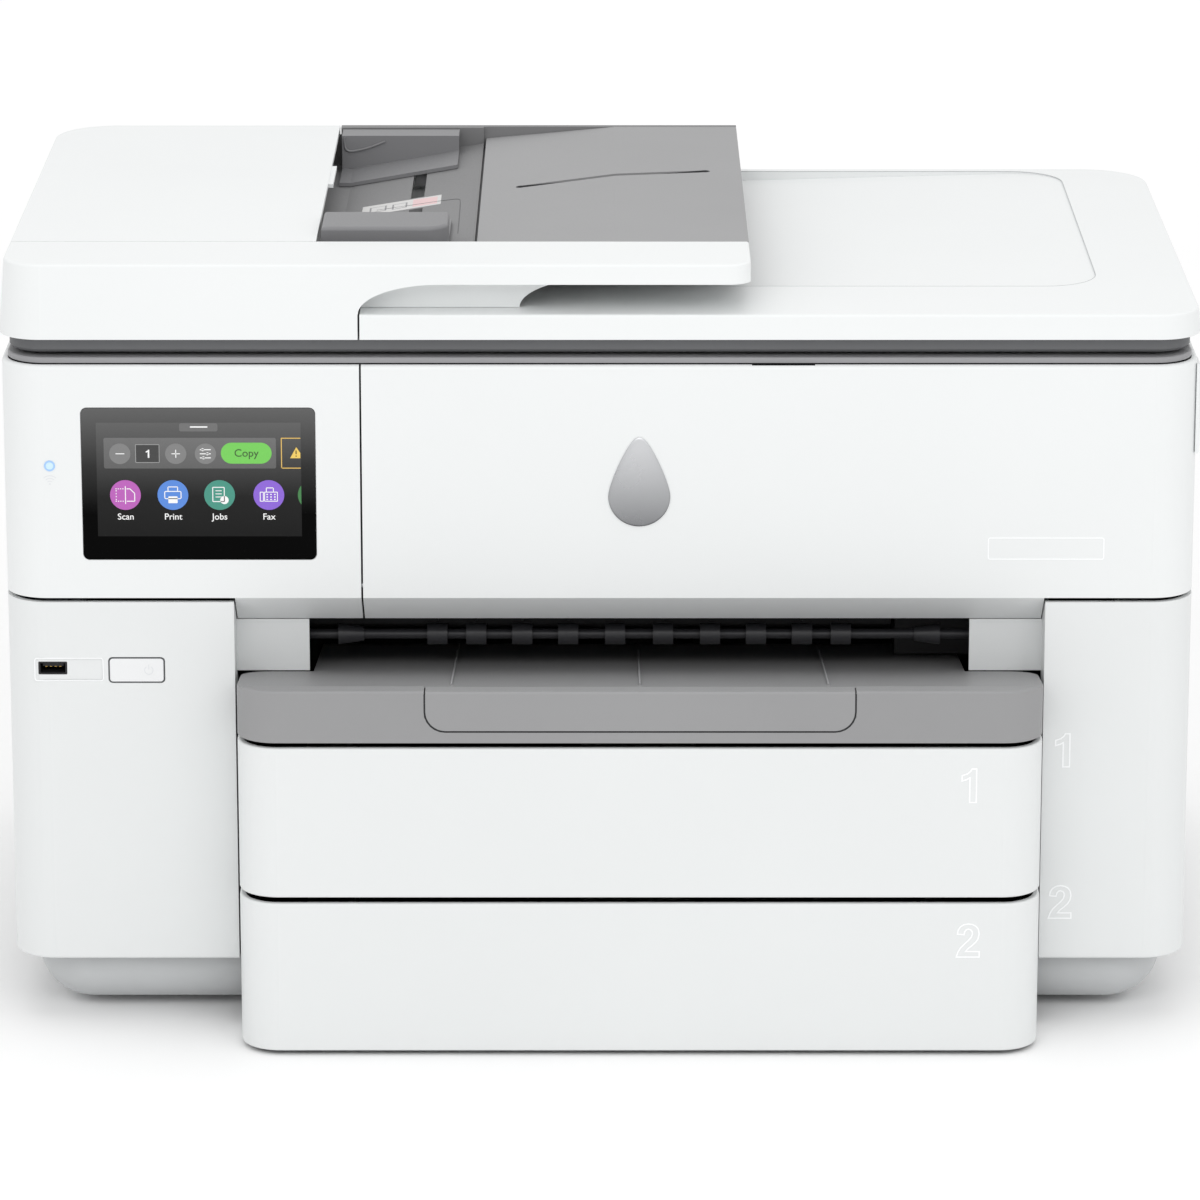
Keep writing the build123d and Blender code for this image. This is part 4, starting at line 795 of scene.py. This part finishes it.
def feeder_lines():
    """A dark line along the floor's step and a dark strip under the input tray's edge, both painted shadow,
    and the rear guide's rib.
    """
    dark = MAT["lid_dark"]
    # Painted shadow: a dark tube along the edge of the floor's recess, where its small step is in shade.
    route = [(-118, 57), (-96, 54.5), (-78, 52.5), (-74, 50), (-73.4, 44), (-73.2, 5), (-73.0, -34)]
    tube("feeder_floor_step_shadow", [(x, y, floor_z(x) + 0.02) for x, y in route], 0.22, dark, "lid_group")
    low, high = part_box("adf_input_tray")
    # Painted shadow: a dark strip under the gap between the input tray and the floor, so that the gap shows
    # shade and not the white lid.
    bm = bmesh.new()
    bmesh.ops.create_cube(bm, size=1.0)
    bmesh.ops.scale(bm, verts=bm.verts, vec=(5.6 * MM, 287 * MM, 0.8 * MM))
    bmesh.ops.translate(bm, verts=bm.verts, vec=(-61.8 * MM, (low.y + high.y) / 2, 384.3 * MM))
    bmesh.ops.bevel(bm, geom=list(bm.edges), offset=0.15 * MM, segments=2, affect="EDGES")
    link(mesh_object("feeder_seam_shadow_strip", bm), "lid_group", dark)
    rib = [(-139.6, 394.8), (-139.9, 390.0), (-138.0, 386.6), (-132.0, 387.4), (-124.0, 389.6),
           (-117.5, 392.4)]
    tube("guide_rear_rib", [(x, 167.6, z) for x, z in rib], 0.6, MAT["guide_grey"], "adf_guide_rear_group")


def slit_shade_lining():
    """A dark sheet on the walls of the input tray's slit, painted shade inside it, which follows the plate's
    two slopes.
    """
    centre, half, r, turn = (7.0, 62.8), 49.5, 2.5, math.radians(10.4)
    section = ((-0.25, -0.04), (0.5, -0.04), (0.5, 2.4), (0.05, 2.4), (0.05, 0.0), (-0.25, 0.0))

    def loop(inset, drop):
        """Points round the slit, inset from its wall and dropped below the plate's top."""
        out = []
        for side, start in ((1, -90), (-1, 90)):
            for i in range(13):
                a = math.radians(start + 15 * i)
                x, y = side * half + (r - inset) * math.cos(a), (r - inset) * math.sin(a)
                px = centre[0] + x * math.cos(turn) - y * math.sin(turn)
                py = centre[1] + x * math.sin(turn) + y * math.cos(turn)
                out.append((px * MM, py * MM, (plate_z(px) - drop) * MM))
        return out

    bm = bmesh.new()
    rows = [[bm.verts.new(p) for p in loop(inset, drop)] for inset, drop in section]
    join_rows(bm, zip(rows, rows[1:] + rows[:1]))
    # Painted shade: a dark rubbery sheet on the slit's walls, which stands in for the shade inside the slit.
    link(mesh_object("feeder_slit_shade_lining", bm), "adf_input_tray_group",
         rubbery("slit_painted_shade", srgb(58, 58, 60)))


PRINTED = moulded("printed_grey", srgb(222, 224, 226), 0.4, 1500.0, 0.05, 0.01)
touchscreen()
markings()
wireless_light(PRINTED)
power_key(PRINTED)
slit_shade_lining()
extension_gap_shadow()
deck_edge_shade()
tray_lines()
front_socket()
emblem()
feeder_label()
feeder_lines()


# ---------------------------------------------------------------- camera, light, floor
def place_camera():
    """A long lens from the front, looking down a little, with a small shift for the framing."""
    data = bpy.data.cameras.new("camera")
    camera = bpy.data.objects.new("camera", data)
    bpy.context.scene.collection.objects.link(camera)
    data.lens = 178.4
    data.sensor_width = 36.0
    data.shift_y = -0.1
    camera.location = (0.0001, -3.0235, 1.0493)
    camera.rotation_euler = (math.radians(90 - 14.89), 0, 0)
    bpy.context.scene.camera = camera


def area(name, place, target, size, power):
    """A soft rectangular light aimed at a point."""
    data = bpy.data.lights.new(name, "AREA")
    data.shape = "RECTANGLE"
    data.size, data.size_y = size
    data.energy = power
    light = bpy.data.objects.new(name, data)
    bpy.context.scene.collection.objects.link(light)
    light.location = place
    light.rotation_euler = (Vector(target) - Vector(place)).to_track_quat("-Z", "Y").to_euler()


def lights():
    """An even white surround, a wide light above and a lower one in front."""
    bpy.context.scene.view_settings.view_transform = "Standard"
    world = bpy.data.worlds.new("world")
    world.use_nodes = True
    background = world.node_tree.nodes["Background"]
    background.inputs["Color"].default_value = (1, 1, 1, 1)
    background.inputs["Strength"].default_value = 0.9
    bpy.context.scene.world = world
    area("top", (0, -0.2, 2.2), (0, 0, 0.3), (2.4, 1.8), 7)
    area("front", (0.1, -1.5, 1.25), (0, -0.15, 0.36), (1.8, 0.6), 6)


def floor_paper():
    """Matt white paper that glows a little further back, so that the background stays white."""
    m = Nodes("floor_paper")
    m.link(m.ramp(m.noise(3.0, 3.0), [(0.3, srgb(250, 250, 250)), (0.7, srgb(253, 253, 253))]),
           m.shader.inputs["Base Color"])
    m.set(Roughness=0.9, Specular_IOR_Level=0.1, Emission_Strength=0.12)
    back = m.spread(m.axis("Y"), 0.0, 1.0, 0.6, 2.4)
    m.link(m.ramp(back, [(0.0, (0, 0, 0, 1)), (1.0, (1, 1, 1, 1))]), m.shader.inputs["Emission Color"])
    return m.material


def wide_floor():
    """A wide flat floor, with no wall that could come between the object and a camera behind it."""
    bm = bmesh.new()
    half = 12.0
    corners = ((-half, -half), (half, -half), (half, half), (-half, half))
    bm.faces.new([bm.verts.new((x, y, 0.0)) for x, y in corners])
    floor = mesh_object("floor", bm)
    bpy.context.scene.collection.objects.link(floor)
    floor.data.materials.append(floor_paper())


place_camera()
lights()
wide_floor()
